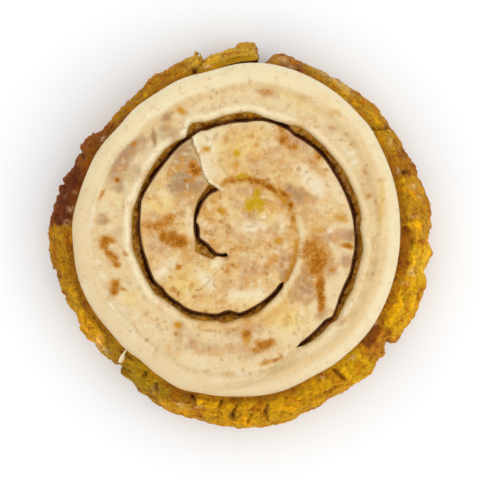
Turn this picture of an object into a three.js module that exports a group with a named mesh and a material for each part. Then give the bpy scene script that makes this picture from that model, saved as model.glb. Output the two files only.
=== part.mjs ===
// A cinnamon roll: one strip of coarse dough wound two and a half turns round its own inner end, a
// ribbon of cinnamon filling between the turns, and poured icing on top. It stands on its flat base.
// The icing bridges part of the seam between the turns, and is open over the rest of it.
//
// Lengths are in millimetres. Angles are in degrees, counterclockwise from +X seen from above.
// A place along the strip is a number of turns: the seam between the turns opens at 0, and the
// strip winds clockwise and outwards from there. Radii are measured from the spiral's centre.
import * as THREE from "three";

const { clamp, degToRad, euclideanModulo, lerp, radToDeg, smoothstep } = THREE.MathUtils;

// Driving dimensions
const CENTRE = { x: -1.94, y: 0.64 }; // of the spiral
const SPIRAL = { firstRadius: 5.5, firstAngle: 270, pitch: 15.7, oval: 0.62, ovalAngle: 65 };
const HEIGHT = { shoulder: 26.5, dome: 1.4, domeRadius: 27, bulge: 9.5, heel: 3 };
const SIDE = { tuck: 2.2, heelTuck: 0.8, underIcing: 3, leastTop: 0.3 };
const TAIL = { slackens: 1.9, levels: 2.25, width: 8, leaves: 2.44, ends: 2.525, tip: 4.4, mouth: 0.0175 };
const SLOT = { half: 0.7, opensOver: 0.05, drop: 0.6, dropReach: 3.5 };
const FILLING = { half: 0.4, from: 0.05, to: 2.5, base: 0.3, deep: 6.5, shallow: 2.2, ridge: 0.4 };
const ICING = { gap: 0.3, sheet: 1, bead: 2.3, beadReach: 4.5, lip: 1.7, lipReach: 3, merges: 2.2 };
const ICING_EDGE = { thickness: 0.8, round: 1.2, setBackOuter: 1.5, setBackInner: 0.95, fade: 0.06 };

// Stretches of the seam, in turns, that the icing leaves open, and the edge of a broken flake of it
const OPEN_SEAM = [{ from: 0.025, to: 0.45 }, { from: 0.875, to: 1.925 }];
const FLAKE = { at: 0.44, depth: 0.5, fades: 0.25 };

// Outlines seen from above: a circle with broad lobes, and single bulges and notches on the side
const SIDE_OUTLINE = {
  radius: 48.8,
  lobes: [
    { count: 1, height: 3.34, angle: -28 },
    { count: 3, height: 0.53, angle: -56 },
    { count: 4, height: 1.02, angle: 0 },
  ],
};
const ICING_OUTLINE = {
  radius: 42.55,
  lobes: [
    { count: 1, height: 2.03, angle: 15.5 },
    { count: 2, height: 0.57, angle: 65 },
    { count: 3, height: 0.62, angle: -52 },
  ],
};
const LUMPS = [
  { angle: 79, reach: 1.8, height: -3 }, // beyond the strip's tail
  { angle: 85, reach: 4, height: 1.8 }, // the tail itself
  { angle: 95.5, reach: 4, height: -2.2 },
  { angle: 104, reach: 3, height: 1.2 },
  { angle: 134, reach: 9, height: -0.9 },
  { angle: 150, reach: 3, height: 1.0 },
  { angle: 157, reach: 3, height: -0.9 },
  { angle: 185, reach: 7, height: 0.7 },
  { angle: 215, reach: 4, height: 0.9 },
  { angle: 228, reach: 4, height: -1.0 },
  { angle: 298, reach: 6, height: -0.8 },
  { angle: 323, reach: 3, height: -1.4 },
  { angle: 340, reach: 7, height: 1.0 },
  { angle: 348, reach: 2.5, height: -1.5 },
  { angle: 359, reach: 3, height: -1.0 },
  { angle: 42, reach: 10, height: 0.9 },
];
// The coarse dough's unevenness: waves round the side, each turning as it climbs
const ROUGHNESS = [
  { count: 13, height: 0.15, perMillimetre: 0.35, phase: 0 },
  { count: 19, height: 0.15, perMillimetre: -0.5, phase: 2 },
];

// Fineness: stations in each turn, and the points of a section
const STATIONS = { core: 40, side: 80, icingRing: 60, icingRingFrom: 0.9 };
const TOP_SHARES = [0, 0.1, 0.3, 0.55, 0.8, 1];
const ICING_SHARES = [0, 0.07, 0.2, 0.4, 0.62, 0.82, 0.93, 1];
const WALL = {
  depth: [0, 0.7, 2, 4, 7.5, 13], // below the top edge; the last point of a wall is on the floor
  outer: [1.2, 0.85, 0.5, 0.15, 0, 0, 0], // what the open seam's walls lean back, on the outer turn
  inner: [0.5, 0.25, 0.1, 0, 0, 0, 0], // and on the inner turn
};
const SHOULDER_ANGLES = [0, 30, 54, 74, 90]; // round the side's shoulder, from its top to the bulge
const TINY = 1e-4;

const angleAt = (turn) => degToRad(SPIRAL.firstAngle) - 2 * Math.PI * turn;

function outlineRadius(angle, { radius, lobes }) {
  const wave = ({ count, height, angle: crest }) => height * Math.cos(count * (angle - degToRad(crest)));
  return lobes.reduce((sum, lobe) => sum + wave(lobe), radius);
}

const sideRadius = (angle) => outlineRadius(angle, SIDE_OUTLINE);
const icingRadius = (angle) => outlineRadius(angle, ICING_OUTLINE);

// How far the bulges and notches move the side in a direction
function lumpsAt(angle) {
  const bell = ({ angle: middle, reach, height }) => {
    const off = euclideanModulo(radToDeg(angle) - middle + 180, 360) - 180;
    return height * Math.exp(-((off / reach) ** 2));
  };
  return LUMPS.reduce((sum, lump) => sum + bell(lump), 0);
}

// The seam between the turns: a slightly oval spiral that follows the side once it is under the
// icing's rim, and then comes out through the side, where the strip's tail ends
function seamRadius(turn) {
  const angle = angleAt(turn);
  const side = sideRadius(angle);
  const oval = SPIRAL.oval * turn * Math.cos(2 * (angle - degToRad(SPIRAL.ovalAngle)));
  const wound = SPIRAL.firstRadius + SPIRAL.pitch * turn + oval;
  const level = lerp(wound, side - TAIL.width, smoothstep(turn, TAIL.slackens, TAIL.levels));
  return lerp(level, side - TAIL.tip, smoothstep(turn, TAIL.leaves, TAIL.ends));
}

// Where the flat top turns over into the side's shoulder
function shoulderRadius(angle, innerRadius) {
  const least = lerp(innerRadius, sideRadius(angle), SIDE.leastTop);
  return Math.max(icingRadius(angle) - SIDE.underIcing, least);
}

function topHeight(radius) {
  return HEIGHT.shoulder + HEIGHT.dome * (1 - smoothstep(radius, 0, HEIGHT.domeRadius));
}

// How far over the shoulder a point is, from 0 where it starts to 1 at the side
function shoulderShare(angle, radius) {
  const from = shoulderRadius(angle, 0);
  return clamp((radius - from) / (sideRadius(angle) - from), 0, 1);
}

// The dough's upper surface, over the top and down the shoulder, where no seam cuts it
function doughHeight(angle, radius) {
  const share = shoulderShare(angle, radius);
  return lerp(HEIGHT.bulge, topHeight(radius), Math.sqrt(1 - share ** 2));
}

function place(turn, radius, height) {
  const angle = angleAt(turn);
  return new THREE.Vector3(CENTRE.x + radius * Math.cos(angle), CENTRE.y + radius * Math.sin(angle), height);
}

// Collects the faces of a closed skin. A face that has shrunk to a line is left out.
class Skin {
  corners = [];

  triangle(a, b, c) {
    if ([a.distanceTo(b), b.distanceTo(c), c.distanceTo(a)].some((side) => side < TINY)) return;
    this.corners.push(a, b, c);
  }

  // One row of points for each station; keep says between which two stations there are faces
  sheet(rows, keep = () => true) {
    for (let i = 1; i < rows.length; i++) {
      if (!keep(i)) continue;
      for (let j = 1; j < rows[i].length; j++) {
        this.triangle(rows[i - 1][j - 1], rows[i - 1][j], rows[i][j]);
        this.triangle(rows[i - 1][j - 1], rows[i][j], rows[i][j - 1]);
      }
    }
  }

  // The disc inside the spiral's start, facing up or down
  core(heightAt, facesUp) {
    const turns = stations(-1, 0, STATIONS.core);
    const rings = [SPIRAL.firstRadius, SPIRAL.firstRadius / 2, 0];
    const inOrder = facesUp ? rings : rings.toReversed();
    this.sheet(turns.map((turn) => inOrder.map((radius) => place(turn, radius, heightAt(radius)))));
  }

  mesh(name, material) {
    const geometry = new THREE.BufferGeometry().setFromPoints(this.corners);
    geometry.computeVertexNormals();
    const mesh = new THREE.Mesh(geometry, material);
    mesh.name = name;
    return mesh;
  }
}

function stations(from, to, perTurn) {
  const first = Math.round(from * perTurn);
  const last = Math.round(to * perTurn);
  return Array.from({ length: last - first + 1 }, (_, i) => (first + i) / perTurn);
}

const joined = (...lists) => lists.flatMap((list, i) => (i ? list.slice(1) : list));

// Dough

const seamOpening = (turn) => smoothstep(turn, 0, SLOT.opensOver);

// How far the icing has come apart over the seam, from 0 where it bridges it to 1
const overOpenSeam = (turn) =>
  Math.max(
    ...OPEN_SEAM.map(
      ({ from, to }) =>
        smoothstep(turn, from, from + ICING_EDGE.fade) * (1 - smoothstep(turn, to - ICING_EDGE.fade, to)),
    ),
  );

// One wall of the seam's slot, from its top edge to the floor. Side is 1 on the outer turn's wall
// and -1 on the inner turn's.
function slotWall(turn, seamTurn, side) {
  const radius = seamRadius(seamTurn);
  const opening = seamOpening(seamTurn);
  const lean = overOpenSeam(seamTurn);
  const leans = side > 0 ? WALL.outer : WALL.inner;
  return leans.map((leanBack, i) => {
    const at = radius + side * opening * (SLOT.half + lean * leanBack);
    const top = doughHeight(angleAt(turn), radius) - SLOT.drop * opening;
    return { radius: at, height: i < WALL.depth.length ? top - WALL.depth[i] : 0 };
  });
}

const roughness = (angle, z) =>
  ROUGHNESS.reduce(
    (sum, { count, height, perMillimetre, phase }) =>
      sum + height * Math.sin(count * angle + perMillimetre * z + phase),
    0,
  );

// The roll's side, from the start of the shoulder over the bulge to the floor
function sideWall(turn, innerRadius) {
  const angle = angleAt(turn);
  const outer = sideRadius(angle);
  const from = shoulderRadius(angle, innerRadius);
  const point = (radius, height) => {
    const moved = lumpsAt(angle) + roughness(angle, height);
    return { radius: radius + moved * shoulderShare(angle, radius) ** 3, height };
  };
  const radii = SHOULDER_ANGLES.map((round) => lerp(from, outer, Math.sin(degToRad(round))));
  const shoulder = radii.map((radius) => point(radius, doughHeight(angle, radius)));
  return [...shoulder, point(outer - SIDE.heelTuck, HEIGHT.heel), point(outer - SIDE.tuck, 0)];
}

const between = (a, b, share) =>
  a.map((point, i) => ({
    radius: lerp(point.radius, b[i].radius, share),
    height: lerp(point.height, b[i].height, share),
  }));

// The strip's section at a station: its outer wall, its inner wall and the crowned top between them
function doughSection(turn) {
  const angle = angleAt(turn);
  const inner = slotWall(turn, Math.max(turn, 0), 1);
  if (turn <= 0) inner.forEach((point) => (point.radius = SPIRAL.firstRadius));
  const slot = slotWall(turn, Math.min(turn + 1, TAIL.ends), -1);
  const exposed = smoothstep(turn, TAIL.ends - 1, TAIL.ends - 1 + TAIL.mouth);
  const outer = between(slot, sideWall(turn, inner[0].radius), exposed);
  const innerDrop = SLOT.drop * seamOpening(turn);
  const outerDrop = SLOT.drop * seamOpening(turn + 1) * (1 - exposed);
  const crown = TOP_SHARES.map((share) => {
    const radius = lerp(inner[0].radius, outer[0].radius, share);
    const nearInner = 1 - smoothstep(radius - inner[0].radius, 0, SLOT.dropReach);
    const nearOuter = 1 - smoothstep(outer[0].radius - radius, 0, SLOT.dropReach);
    const drop = Math.max(innerDrop * nearInner, outerDrop * nearOuter);
    return { radius, height: doughHeight(angle, radius) - drop };
  });
  crown[0] = inner[0];
  crown[crown.length - 1] = outer[0];
  return { inner, outer, crown };
}

function dough(material) {
  const skin = new Skin();
  const turns = joined(
    stations(-1, TAIL.ends - 1, STATIONS.core),
    stations(TAIL.ends - 1, TAIL.ends, STATIONS.side),
  );
  const sections = turns.map(doughSection);
  const points = (key) =>
    sections.map((section, i) => section[key].map(({ radius, height }) => place(turns[i], radius, height)));
  const [inner, outer, crown] = ["inner", "outer", "crown"].map(points);
  skin.sheet(crown.map((row) => row.toReversed()));
  skin.sheet(inner, (i) => turns[i - 1] >= 0);
  skin.sheet(inner.map((row, i) => [row.at(-1), outer[i].at(-1)]));
  skin.sheet(outer.map((row) => row.toReversed()));
  skin.core(topHeight, true);
  skin.core(() => 0, false);
  capTail(skin, inner.at(-1), outer.at(-1), crown.at(-1));
  return skin.mesh("dough", material);
}

// The strip's blunt end
function capTail(skin, inner, outer, crown) {
  const rim = [...crown, outer[1]];
  rim.slice(1).forEach((point, i) => skin.triangle(inner[1], point, rim[i]));
  for (let j = 2; j < inner.length; j++) {
    skin.triangle(inner[j - 1], outer[j], outer[j - 1]);
    skin.triangle(inner[j - 1], inner[j], outer[j]);
  }
}

// Filling

function filling(material) {
  const skin = new Skin();
  const turns = stations(FILLING.from, FILLING.to, STATIONS.core);
  const sections = turns.map((turn) => {
    const radius = seamRadius(turn);
    const depth = lerp(FILLING.shallow, FILLING.deep, overOpenSeam(turn));
    const top = doughHeight(angleAt(turn), radius) - SLOT.drop - depth;
    const corners = [
      [FILLING.half, top],
      [0, top + FILLING.ridge],
      [-FILLING.half, top],
      [-FILLING.half, FILLING.base],
      [FILLING.half, FILLING.base],
    ];
    return corners.map(([offset, height]) => place(turn, radius + offset, height));
  });
  skin.sheet(sections.map((row) => [...row, row[0]]));
  capEnds(skin, sections);
  return skin.mesh("cinnamon_filling", material);
}

// Closes a ribbon at its first and last station, where its sections are convex
function capEnds(skin, sections) {
  const [first, last] = [sections[0], sections.at(-1)];
  for (let i = 2; i < first.length; i++) {
    skin.triangle(first[0], first[i], first[i - 1]);
    skin.triangle(last[0], last[i - 1], last[i]);
  }
}

// Icing

// The line that the icing's turns meet on: the seam, then a line out to the icing's rim
function icingSeamRadius(turn) {
  const merging = smoothstep(turn, OPEN_SEAM.at(-1).to, ICING.merges);
  return lerp(seamRadius(turn), icingRadius(angleAt(turn)), merging);
}

// A thin sheet that swells to a bead round the icing's rim and to a lip along the outer turn's edge
function icingThickness(turn, toInner, toRim) {
  const lip = turn > OPEN_SEAM[0].to ? (ICING.lip - ICING.sheet) * overOpenSeam(turn) : 0;
  const bead = ICING.bead - ICING.sheet;
  const broken = turn < FLAKE.at ? FLAKE.depth * smoothstep(turn, FLAKE.at - FLAKE.fades, FLAKE.at) : 0;
  const swell =
    lip * (1 - smoothstep(toInner, 0, ICING.lipReach)) + bead * (1 - smoothstep(toRim, 0, ICING.beadReach));
  const rounding = Math.sqrt(clamp(toRim / ICING_EDGE.round, 0, 1));
  return lerp(ICING_EDGE.thickness, ICING.sheet + swell - broken, rounding);
}

// The icing's edge is upright and blunt where it is open, and only its top and foot where it isn't
function icingSection(turn) {
  const angle = angleAt(turn);
  const onRim = turn + 1 > ICING.merges;
  const innerLine = turn > 0 ? icingSeamRadius(turn) : SPIRAL.firstRadius;
  const outerLine = onRim ? icingRadius(angle) : icingSeamRadius(turn + 1);
  const innerOpen = turn > 0 ? overOpenSeam(turn) : 0;
  const outerOpen = onRim ? 0 : overOpenSeam(turn + 1);
  const inner = innerLine + ICING_EDGE.setBackOuter * innerOpen;
  const outer = outerLine - ICING_EDGE.setBackInner * outerOpen;
  const rows = ICING_SHARES.map((share) => {
    const radius = lerp(inner, outer, share);
    const foot = doughHeight(angle, radius) + ICING.gap;
    const thickness = icingThickness(turn, radius - innerLine, icingRadius(angle) - radius);
    return { radius, foot, top: foot + thickness };
  });
  const [first, last] = [rows[0], rows.at(-1)];
  first.top = lerp(first.top, first.foot + ICING_EDGE.thickness, innerOpen);
  last.top = lerp(last.top, last.foot + ICING_EDGE.thickness, outerOpen);
  return { rows, innerOpen, outerOpen: onRim ? 1 : outerOpen };
}

function icing(material) {
  const skin = new Skin();
  const turns = joined(
    stations(-1, STATIONS.icingRingFrom, STATIONS.core),
    stations(STATIONS.icingRingFrom, ICING.merges, STATIONS.icingRing),
  );
  const sections = turns.map(icingSection);
  const points = (key) =>
    sections.map(({ rows }, i) => rows.map((row) => place(turns[i], row.radius, row[key])));
  const [top, foot] = ["top", "foot"].map(points);
  skin.sheet(top.map((row) => row.toReversed()));
  skin.sheet(foot);
  skin.sheet(
    top.map((row, i) => [row[0], foot[i][0]]),
    (i) => sections[i - 1].innerOpen + sections[i].innerOpen > TINY,
  );
  skin.sheet(
    top.map((row, i) => [foot[i].at(-1), row.at(-1)]),
    (i) => sections[i - 1].outerOpen + sections[i].outerOpen > TINY,
  );
  skin.core((radius) => topHeight(radius) + ICING.gap + ICING.sheet, true);
  skin.core((radius) => topHeight(radius) + ICING.gap, false);
  return skin.mesh("icing", material);
}

const bakedDough = new THREE.MeshStandardMaterial({ color: "#b27d1b", roughness: 0.85, metalness: 0 });
const cinnamonPaste = new THREE.MeshStandardMaterial({ color: "#4f2410", roughness: 0.7, metalness: 0 });
const pouredIcing = new THREE.MeshStandardMaterial({ color: "#ecd6a8", roughness: 0.4, metalness: 0 });

const roll = new THREE.Group();
roll.add(dough(bakedDough), filling(cinnamonPaste), icing(pouredIcing));

export default roll;
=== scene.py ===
import math
import bmesh
import bpy
import numpy as np
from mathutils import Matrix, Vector, noise


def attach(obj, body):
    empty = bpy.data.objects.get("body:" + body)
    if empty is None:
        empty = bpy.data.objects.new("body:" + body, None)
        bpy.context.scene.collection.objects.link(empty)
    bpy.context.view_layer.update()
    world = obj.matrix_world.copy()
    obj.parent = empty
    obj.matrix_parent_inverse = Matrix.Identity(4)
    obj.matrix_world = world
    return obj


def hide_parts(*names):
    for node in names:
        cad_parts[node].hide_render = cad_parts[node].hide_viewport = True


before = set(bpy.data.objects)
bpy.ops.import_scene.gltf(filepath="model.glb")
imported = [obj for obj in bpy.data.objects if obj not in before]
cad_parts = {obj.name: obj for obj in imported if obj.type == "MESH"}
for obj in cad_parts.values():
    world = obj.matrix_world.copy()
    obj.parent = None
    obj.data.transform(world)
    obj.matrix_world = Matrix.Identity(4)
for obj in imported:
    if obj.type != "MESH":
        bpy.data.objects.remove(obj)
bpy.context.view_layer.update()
mm = 0.001  # lengths are in millimetres, angles in degrees from +X, places along the strip in turns
print("frame loaded")

# Camera and light: the picture looks straight down

camera = {"above": 944, "x": 0.29, "y": -1.20, "seen": 126.0, "bulge": 9.5, "sensor": 36}

room = {
    "sky": 1.03,
    "sun": {"strength": 0.5, "wide": 60, "height": 60, "from": -32},
    "paper": "#f5f8fa",
    "sheen": 0.02,
    "asSeen": 1.14,  # how much brighter than its own colour a flat thing looks under this light
}


def linear(hexColour):
    parts = [int(hexColour[i:i + 2], 16) / 255 for i in (1, 3, 5)]
    return [c / 12.92 if c <= 0.04045 else ((c + 0.055) / 1.055) ** 2.4 for c in parts] + [1.0]


# Colours are picked as seen, so the sheen the sky adds and the light's own brightness are taken off them
def unlit(hexColour):
    return [max(c - room["sheen"], 0.003) / room["asSeen"] for c in linear(hexColour)[:3]] + [1.0]


# Where a mark seen at a column and row of the 480 by 480 picture lies, at a height over the floor
def seenAt(column, row, level):
    scale = camera["seen"] / 480 * (camera["above"] - level) / (camera["above"] - camera["bulge"])
    return camera["x"] + (column - 240) * scale, camera["y"] + (240 - row) * scale


def addNode(tree, kind, inputs=None, **settings):
    node = tree.nodes.new(kind)
    for name, value in settings.items():
        setattr(node, name, value)
    for name, value in (inputs or {}).items():
        if isinstance(value, bpy.types.NodeSocket):
            tree.links.new(value, node.inputs[name])
        else:
            node.inputs[name].default_value = value
    return node


def newMaterial(name):
    material = bpy.data.materials.new(name)
    material.use_nodes = True
    return material, material.node_tree, material.node_tree.nodes["Principled BSDF"]


def addPiece(name, mesh):
    piece = bpy.data.objects.new(name, mesh)
    bpy.context.scene.collection.objects.link(piece)
    return piece


def makeCamera():
    data = bpy.data.cameras.new("overhead")
    data.sensor_width = camera["sensor"]
    data.lens = camera["sensor"] * (camera["above"] - camera["bulge"]) / camera["seen"]
    data.clip_start, data.clip_end = 0.01, 20
    overhead = addPiece("overhead", data)
    overhead.location = (camera["x"] * mm, camera["y"] * mm, camera["above"] * mm)
    bpy.context.scene.camera = overhead


def makeSun():
    data = bpy.data.lights.new("softSun", "SUN")
    data.energy = room["sun"]["strength"]
    data.angle = math.radians(room["sun"]["wide"])
    sun = addPiece("softSun", data)
    rise, side = math.radians(room["sun"]["height"]), math.radians(room["sun"]["from"])
    towards = Vector((math.cos(rise) * math.cos(side), math.cos(rise) * math.sin(side), math.sin(rise)))
    sun.rotation_euler = (-towards).to_track_quat("-Z", "Y").to_euler()


def makeRoom():
    world = bpy.data.worlds.new("softRoom")
    world.use_nodes = True
    world.node_tree.nodes["Background"].inputs["Color"].default_value = (1, 1, 1, 1)
    world.node_tree.nodes["Background"].inputs["Strength"].default_value = room["sky"]
    bpy.context.scene.world = world
    bpy.context.scene.view_settings.view_transform = "Standard"
    bpy.context.scene.view_settings.look = "None"
    sheet = bpy.data.meshes.new("floor")
    sheet.from_pydata([(-3, -3, 0), (3, -3, 0), (3, 3, 0), (-3, 3, 0)], [], [(0, 1, 2, 3)])
    floor = addPiece("floor", sheet)
    # Matt white card: even, with no gloss of its own
    paper, tree, shader = newMaterial("whiteCardMatt")
    shader.inputs["Base Color"].default_value = linear(room["paper"])
    shader.inputs["Roughness"].default_value = 0.95
    shader.inputs["Specular IOR Level"].default_value = 0.05
    sheet.materials.append(paper)


makeCamera()
makeSun()
makeRoom()
print("camera, lights and floor made")

# Plan of the roll: the solids' own spiral and outlines, with finer bulges and groove edges

spiral = {
    "x": -1.94, "y": 0.64, "firstRadius": 5.5, "firstAngle": 270, "pitch": 15.7,
    "oval": 0.62, "ovalAngle": 65,
}
tail = {
    "slackens": 1.9, "levels": 2.25, "width": 8,  # the last turn keeps this width to the side
    "leaves": 2.44, "ends": 2.525, "tip": 4.4, "mouth": 0.015,
}
heights = {"shoulder": 26.5, "dome": 1.4, "domeRadius": 27, "bulge": 9.5}
openSeam = {"stretches": [(0.02, 0.455), (0.868, 1.92)], "fade": 0.012}
icingEnds = 2.2  # turns: from here on the icing's rim is its own outline

# outlines: a circle with lobes, each of a count, height and crest angle
sideOutline = {"radius": 48.8, "lobes": [(1, 3.34, -28), (3, 0.53, -56), (4, 1.02, 0)]}
icingOutline = {"radius": 42.55, "lobes": [(1, 2.03, 15.5), (2, 0.57, 65), (3, 0.62, -52)]}

# dents and swellings of the icing's rim: angle, reach, height
icingDents = [
    (37, 4, 0.3), (76, 9, 0.15), (98, 9, -0.95), (117, 8, -0.45), (136, 6, -0.45), (150, 5, 0.2),
    (176, 7, 0.4), (196, 8, 0.2), (220, 9, -0.6), (234, 5, -0.6), (252, 7, 0.95), (264, 5, 0.3),
    (300, 9, -0.85), (314, 7, -0.4),
]

# the rim's outline as columns and rows of the picture, clockwise from the left
rimOutline = [
    (50, 250), (49, 240), (49, 228), (51, 220), (53, 210), (56, 200), (59, 192), (61, 184), (64, 178),
    (68, 173), (70, 171), (74, 168), (76, 160), (79, 152), (80, 146), (84, 142), (88, 138), (95, 132),
    (103, 129), (107, 124), (112, 122), (117, 117), (122, 109), (125, 107), (130, 101), (136, 96),
    (140, 91), (147, 85), (150, 81), (155, 76), (160, 75), (166, 72), (170, 69), (175, 65), (184, 60),
    (190, 57), (194, 54), (195, 51), (196, 46), (198, 48), (199, 55), (200, 61), (204, 60), (208, 57),
    (214, 56), (220, 54), (225, 51), (232, 49), (240, 44), (245, 42), (250, 42), (254, 43), (258, 47),
    (260, 52), (262, 57), (265, 58), (268, 60), (272, 59), (276, 57), (280, 55), (284, 55), (290, 57),
    (300, 62), (310, 66), (320, 70), (330, 76), (340, 82), (350, 88), (358, 91), (362, 95), (368, 100),
    (374, 104), (380, 111), (386, 118), (390, 125), (394, 131), (400, 141), (405, 150), (410, 158),
    (413, 165), (417, 175), (420, 183), (424, 191), (428, 200), (429, 207), (429, 215), (427, 219),
    (429, 225), (428, 232), (425, 240), (428, 247), (430, 252), (428, 260), (425, 266), (421, 271),
    (424, 275), (426, 283), (425, 290), (421, 298), (419, 305), (418, 310), (414, 318), (408, 325),
    (402, 332), (399, 338), (396, 343), (390, 343), (387, 343), (385, 350), (383, 356), (377, 361),
    (374, 367), (370, 373), (365, 377), (358, 381), (350, 388), (342, 393), (335, 397), (327, 401),
    (322, 405), (319, 408), (312, 410), (306, 412), (300, 414), (295, 419), (288, 421), (280, 423),
    (270, 425), (260, 427), (250, 428), (240, 429), (232, 428), (225, 427), (215, 424), (205, 421),
    (195, 418), (185, 416), (175, 412), (170, 410), (160, 405), (155, 401), (150, 398), (140, 390),
    (130, 380), (127, 378), (122, 375), (120, 374), (121, 370), (118, 364), (113, 360), (108, 356),
    (103, 353), (98, 348), (93, 343), (87, 339), (83, 334), (80, 325), (78, 315), (75, 309), (70, 304),
    (66, 298), (63, 290), (60, 282), (58, 276), (56, 271), (53, 265), (51, 258),
]

# where the icing has come apart over the seam: turn, then how far its edge on the outer turn and
# its edge on the inner turn stand from the even spiral
grooveEdges = [
    (0.01, 0.2, -0.2), (0.03, 0.25, -0.5), (0.05, 0.2, -0.85), (0.086, 0, -0.75), (0.104, 0.95, -0.8),
    (0.135, 1.35, -1.4), (0.176, 2.1, -1.8), (0.2, 1, -1.5), (0.227, 0.4, -0.85), (0.262, 0.2, -1.35),
    (0.285, 0.12, -1.2), (0.3, 0.1, -0.5), (0.34, 0.4, -0.8), (0.367, 0.7, -0.75), (0.39, 0.9, -0.65),
    (0.417, 1.2, -0.65), (0.427, 1.5, -0.8), (0.434, 1.3, -0.9), (0.455, -1, -1.4), (0.48, 0.4, -0.4),
    (0.86, 0.3, -0.9), (0.905, 0.55, -0.7), (0.93, 0.8, -0.7), (0.945, 1.2, -0.7), (0.965, 1.2, -0.6),
    (0.984, 0.8, -0.5), (1.005, 1.2, -1.8), (1.016, 1.2, -1.6), (1.026, 0.7, -1), (1.055, 1.1, -0.9),
    (1.072, 1.35, -0.7), (1.09, 0.8, -0.7), (1.103, 0.6, -1), (1.126, 0.6, -0.9), (1.142, 1.3, -1.25),
    (1.16, 1, -0.8), (1.2, 0.8, -1.5), (1.223, 1.25, -1.35), (1.255, 0.95, -1.15), (1.283, 1.1, -1),
    (1.305, 0.6, -0.55), (1.34, 0.4, -1.3), (1.37, 0.45, -1.7), (1.393, 0.6, -1.7), (1.416, 0.1, -1.4),
    (1.428, -0.55, -1.45), (1.434, 0.25, -1.5), (1.438, 1.2, -1.3), (1.446, 1.8, -1.05),
    (1.454, 1.35, -1), (1.463, 0.6, -1.5), (1.476, 0.55, -1.45), (1.49, 0.8, -1.5), (1.503, 0.9, -1.4),
    (1.52, 1.2, -1.4), (1.531, 1, -1), (1.544, 0.3, -0.65), (1.56, 0, -0.75), (1.58, 0.35, -1.1),
    (1.593, 1.2, -1.7), (1.62, 0.85, -1.4), (1.642, 0.75, -1.3), (1.665, 1, -1.5), (1.69, 1.1, -1.3),
    (1.717, 1.5, -0.9), (1.73, 1.5, -0.7), (1.744, 0.9, -0.6), (1.755, 1.3, -0.5), (1.771, 1.8, -0.4),
    (1.785, 1.5, -0.6), (1.801, 1.3, -0.5), (1.82, 1.5, -0.95), (1.835, 1.1, -0.9), (1.85, 1.25, -0.3),
    (1.86, 1.5, 0.05), (1.869, 0.7, -1), (1.886, 0.5, -1.2), (1.9, 0, -1.4), (1.916, -0.8, -1.75),
    (1.935, 0.4, -0.4),
]


def smooth(value, low, high):
    share = np.clip((value - low) / (high - low), 0, 1)
    return share * share * (3 - 2 * share)


def lerp(a, b, share):
    return a + (b - a) * share


# Rises over the first stretch and falls over the second
def window(value, a, b, c, d):
    return smooth(value, a, b) * (1 - smooth(value, c, d))


# Near 1 on the side of the roll that faces the given degrees
def facing(angle, degrees, least, most):
    return smooth(np.cos(angle - math.radians(degrees)), least, most)


# A soft hump, 1 at the middle and a third of it at the reach
def hump(value, middle, reach):
    return np.exp(-((value - middle) / reach) ** 2)


def angleAt(turn):
    return math.radians(spiral["firstAngle"]) - 2 * np.pi * turn


def outlineRadius(angle, outline):
    radius = outline["radius"]
    for count, height, crest in outline["lobes"]:
        radius = radius + height * np.cos(count * (angle - math.radians(crest)))
    return radius


def sideRadius(angle):
    return outlineRadius(angle, sideOutline)


def icingRadius(angle):
    dents = 0.0
    for middle, reach, height in icingDents:
        off = (np.degrees(angle) - middle + 180) % 360 - 180
        dents = dents + height * hump(off, 0, reach)
    return outlineRadius(angle, icingOutline) + dents


def findLumps():
    seen = [seenAt(column, row, heights["bulge"]) for column, row in rimOutline]
    dx, dy = (np.array(seen) - (spiral["x"], spiral["y"])).T
    angle = np.arctan2(dy, dx) % (2 * np.pi)
    order = np.argsort(angle)
    return angle[order], (np.hypot(dx, dy) - sideRadius(angle))[order]


rimLumps = findLumps()


# How far the torn rim stands out from the plain side, most of all along the bulge
def lumpsAt(angle, levels):
    out = np.interp(angle % (2 * np.pi), *rimLumps, period=2 * np.pi)
    return out * (0.5 + 0.5 * hump(levels, heights["bulge"], 6))


def grooveAt(turn):
    turns, outer, inner = np.array(grooveEdges).T
    outer, inner = np.interp(turn, turns, outer), np.interp(turn, turns, inner)
    return (outer + inner) / 2, (outer - inner) / 2  # middle and half width


def seamRadius(turn):
    angle = angleAt(turn)
    side = sideRadius(angle)
    oval = spiral["oval"] * turn * np.cos(2 * (angle - math.radians(spiral["ovalAngle"])))
    wound = spiral["firstRadius"] + spiral["pitch"] * turn + oval
    level = lerp(wound, side - tail["width"], smooth(turn, tail["slackens"], tail["levels"]))
    even = lerp(level, side - tail["tip"], smooth(turn, tail["leaves"], tail["ends"]))
    wander = grooveAt(turn)[0] * smooth(turn, 0, 0.02) * (1 - smooth(turn, 1.93, 1.95))
    return even + wander


def overOpenSeam(turn):
    fade = openSeam["fade"]
    share = np.maximum(*[window(turn, a, a + fade, b - fade, b) for a, b in openSeam["stretches"]])
    return np.where(share < 0.02, 0, share)


def topHeight(radius):
    return heights["shoulder"] + heights["dome"] * (1 - smooth(radius, 0, heights["domeRadius"]))


def shoulderStart(angle):
    return icingRadius(angle) - 3


def shoulderShare(angle, radius):
    start = shoulderStart(angle)
    return np.clip((radius - start) / (sideRadius(angle) - start), 0, 1)


def doughHeight(angle, radius):
    share = shoulderShare(angle, radius)
    return lerp(heights["bulge"], topHeight(radius), np.sqrt(1 - share ** 2))


# The seam fades in beyond the disc, which is one piece with the first turn
def awayFromDisc(radius):
    return smooth(radius, spiral["firstRadius"], spiral["firstRadius"] + 1)


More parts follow.
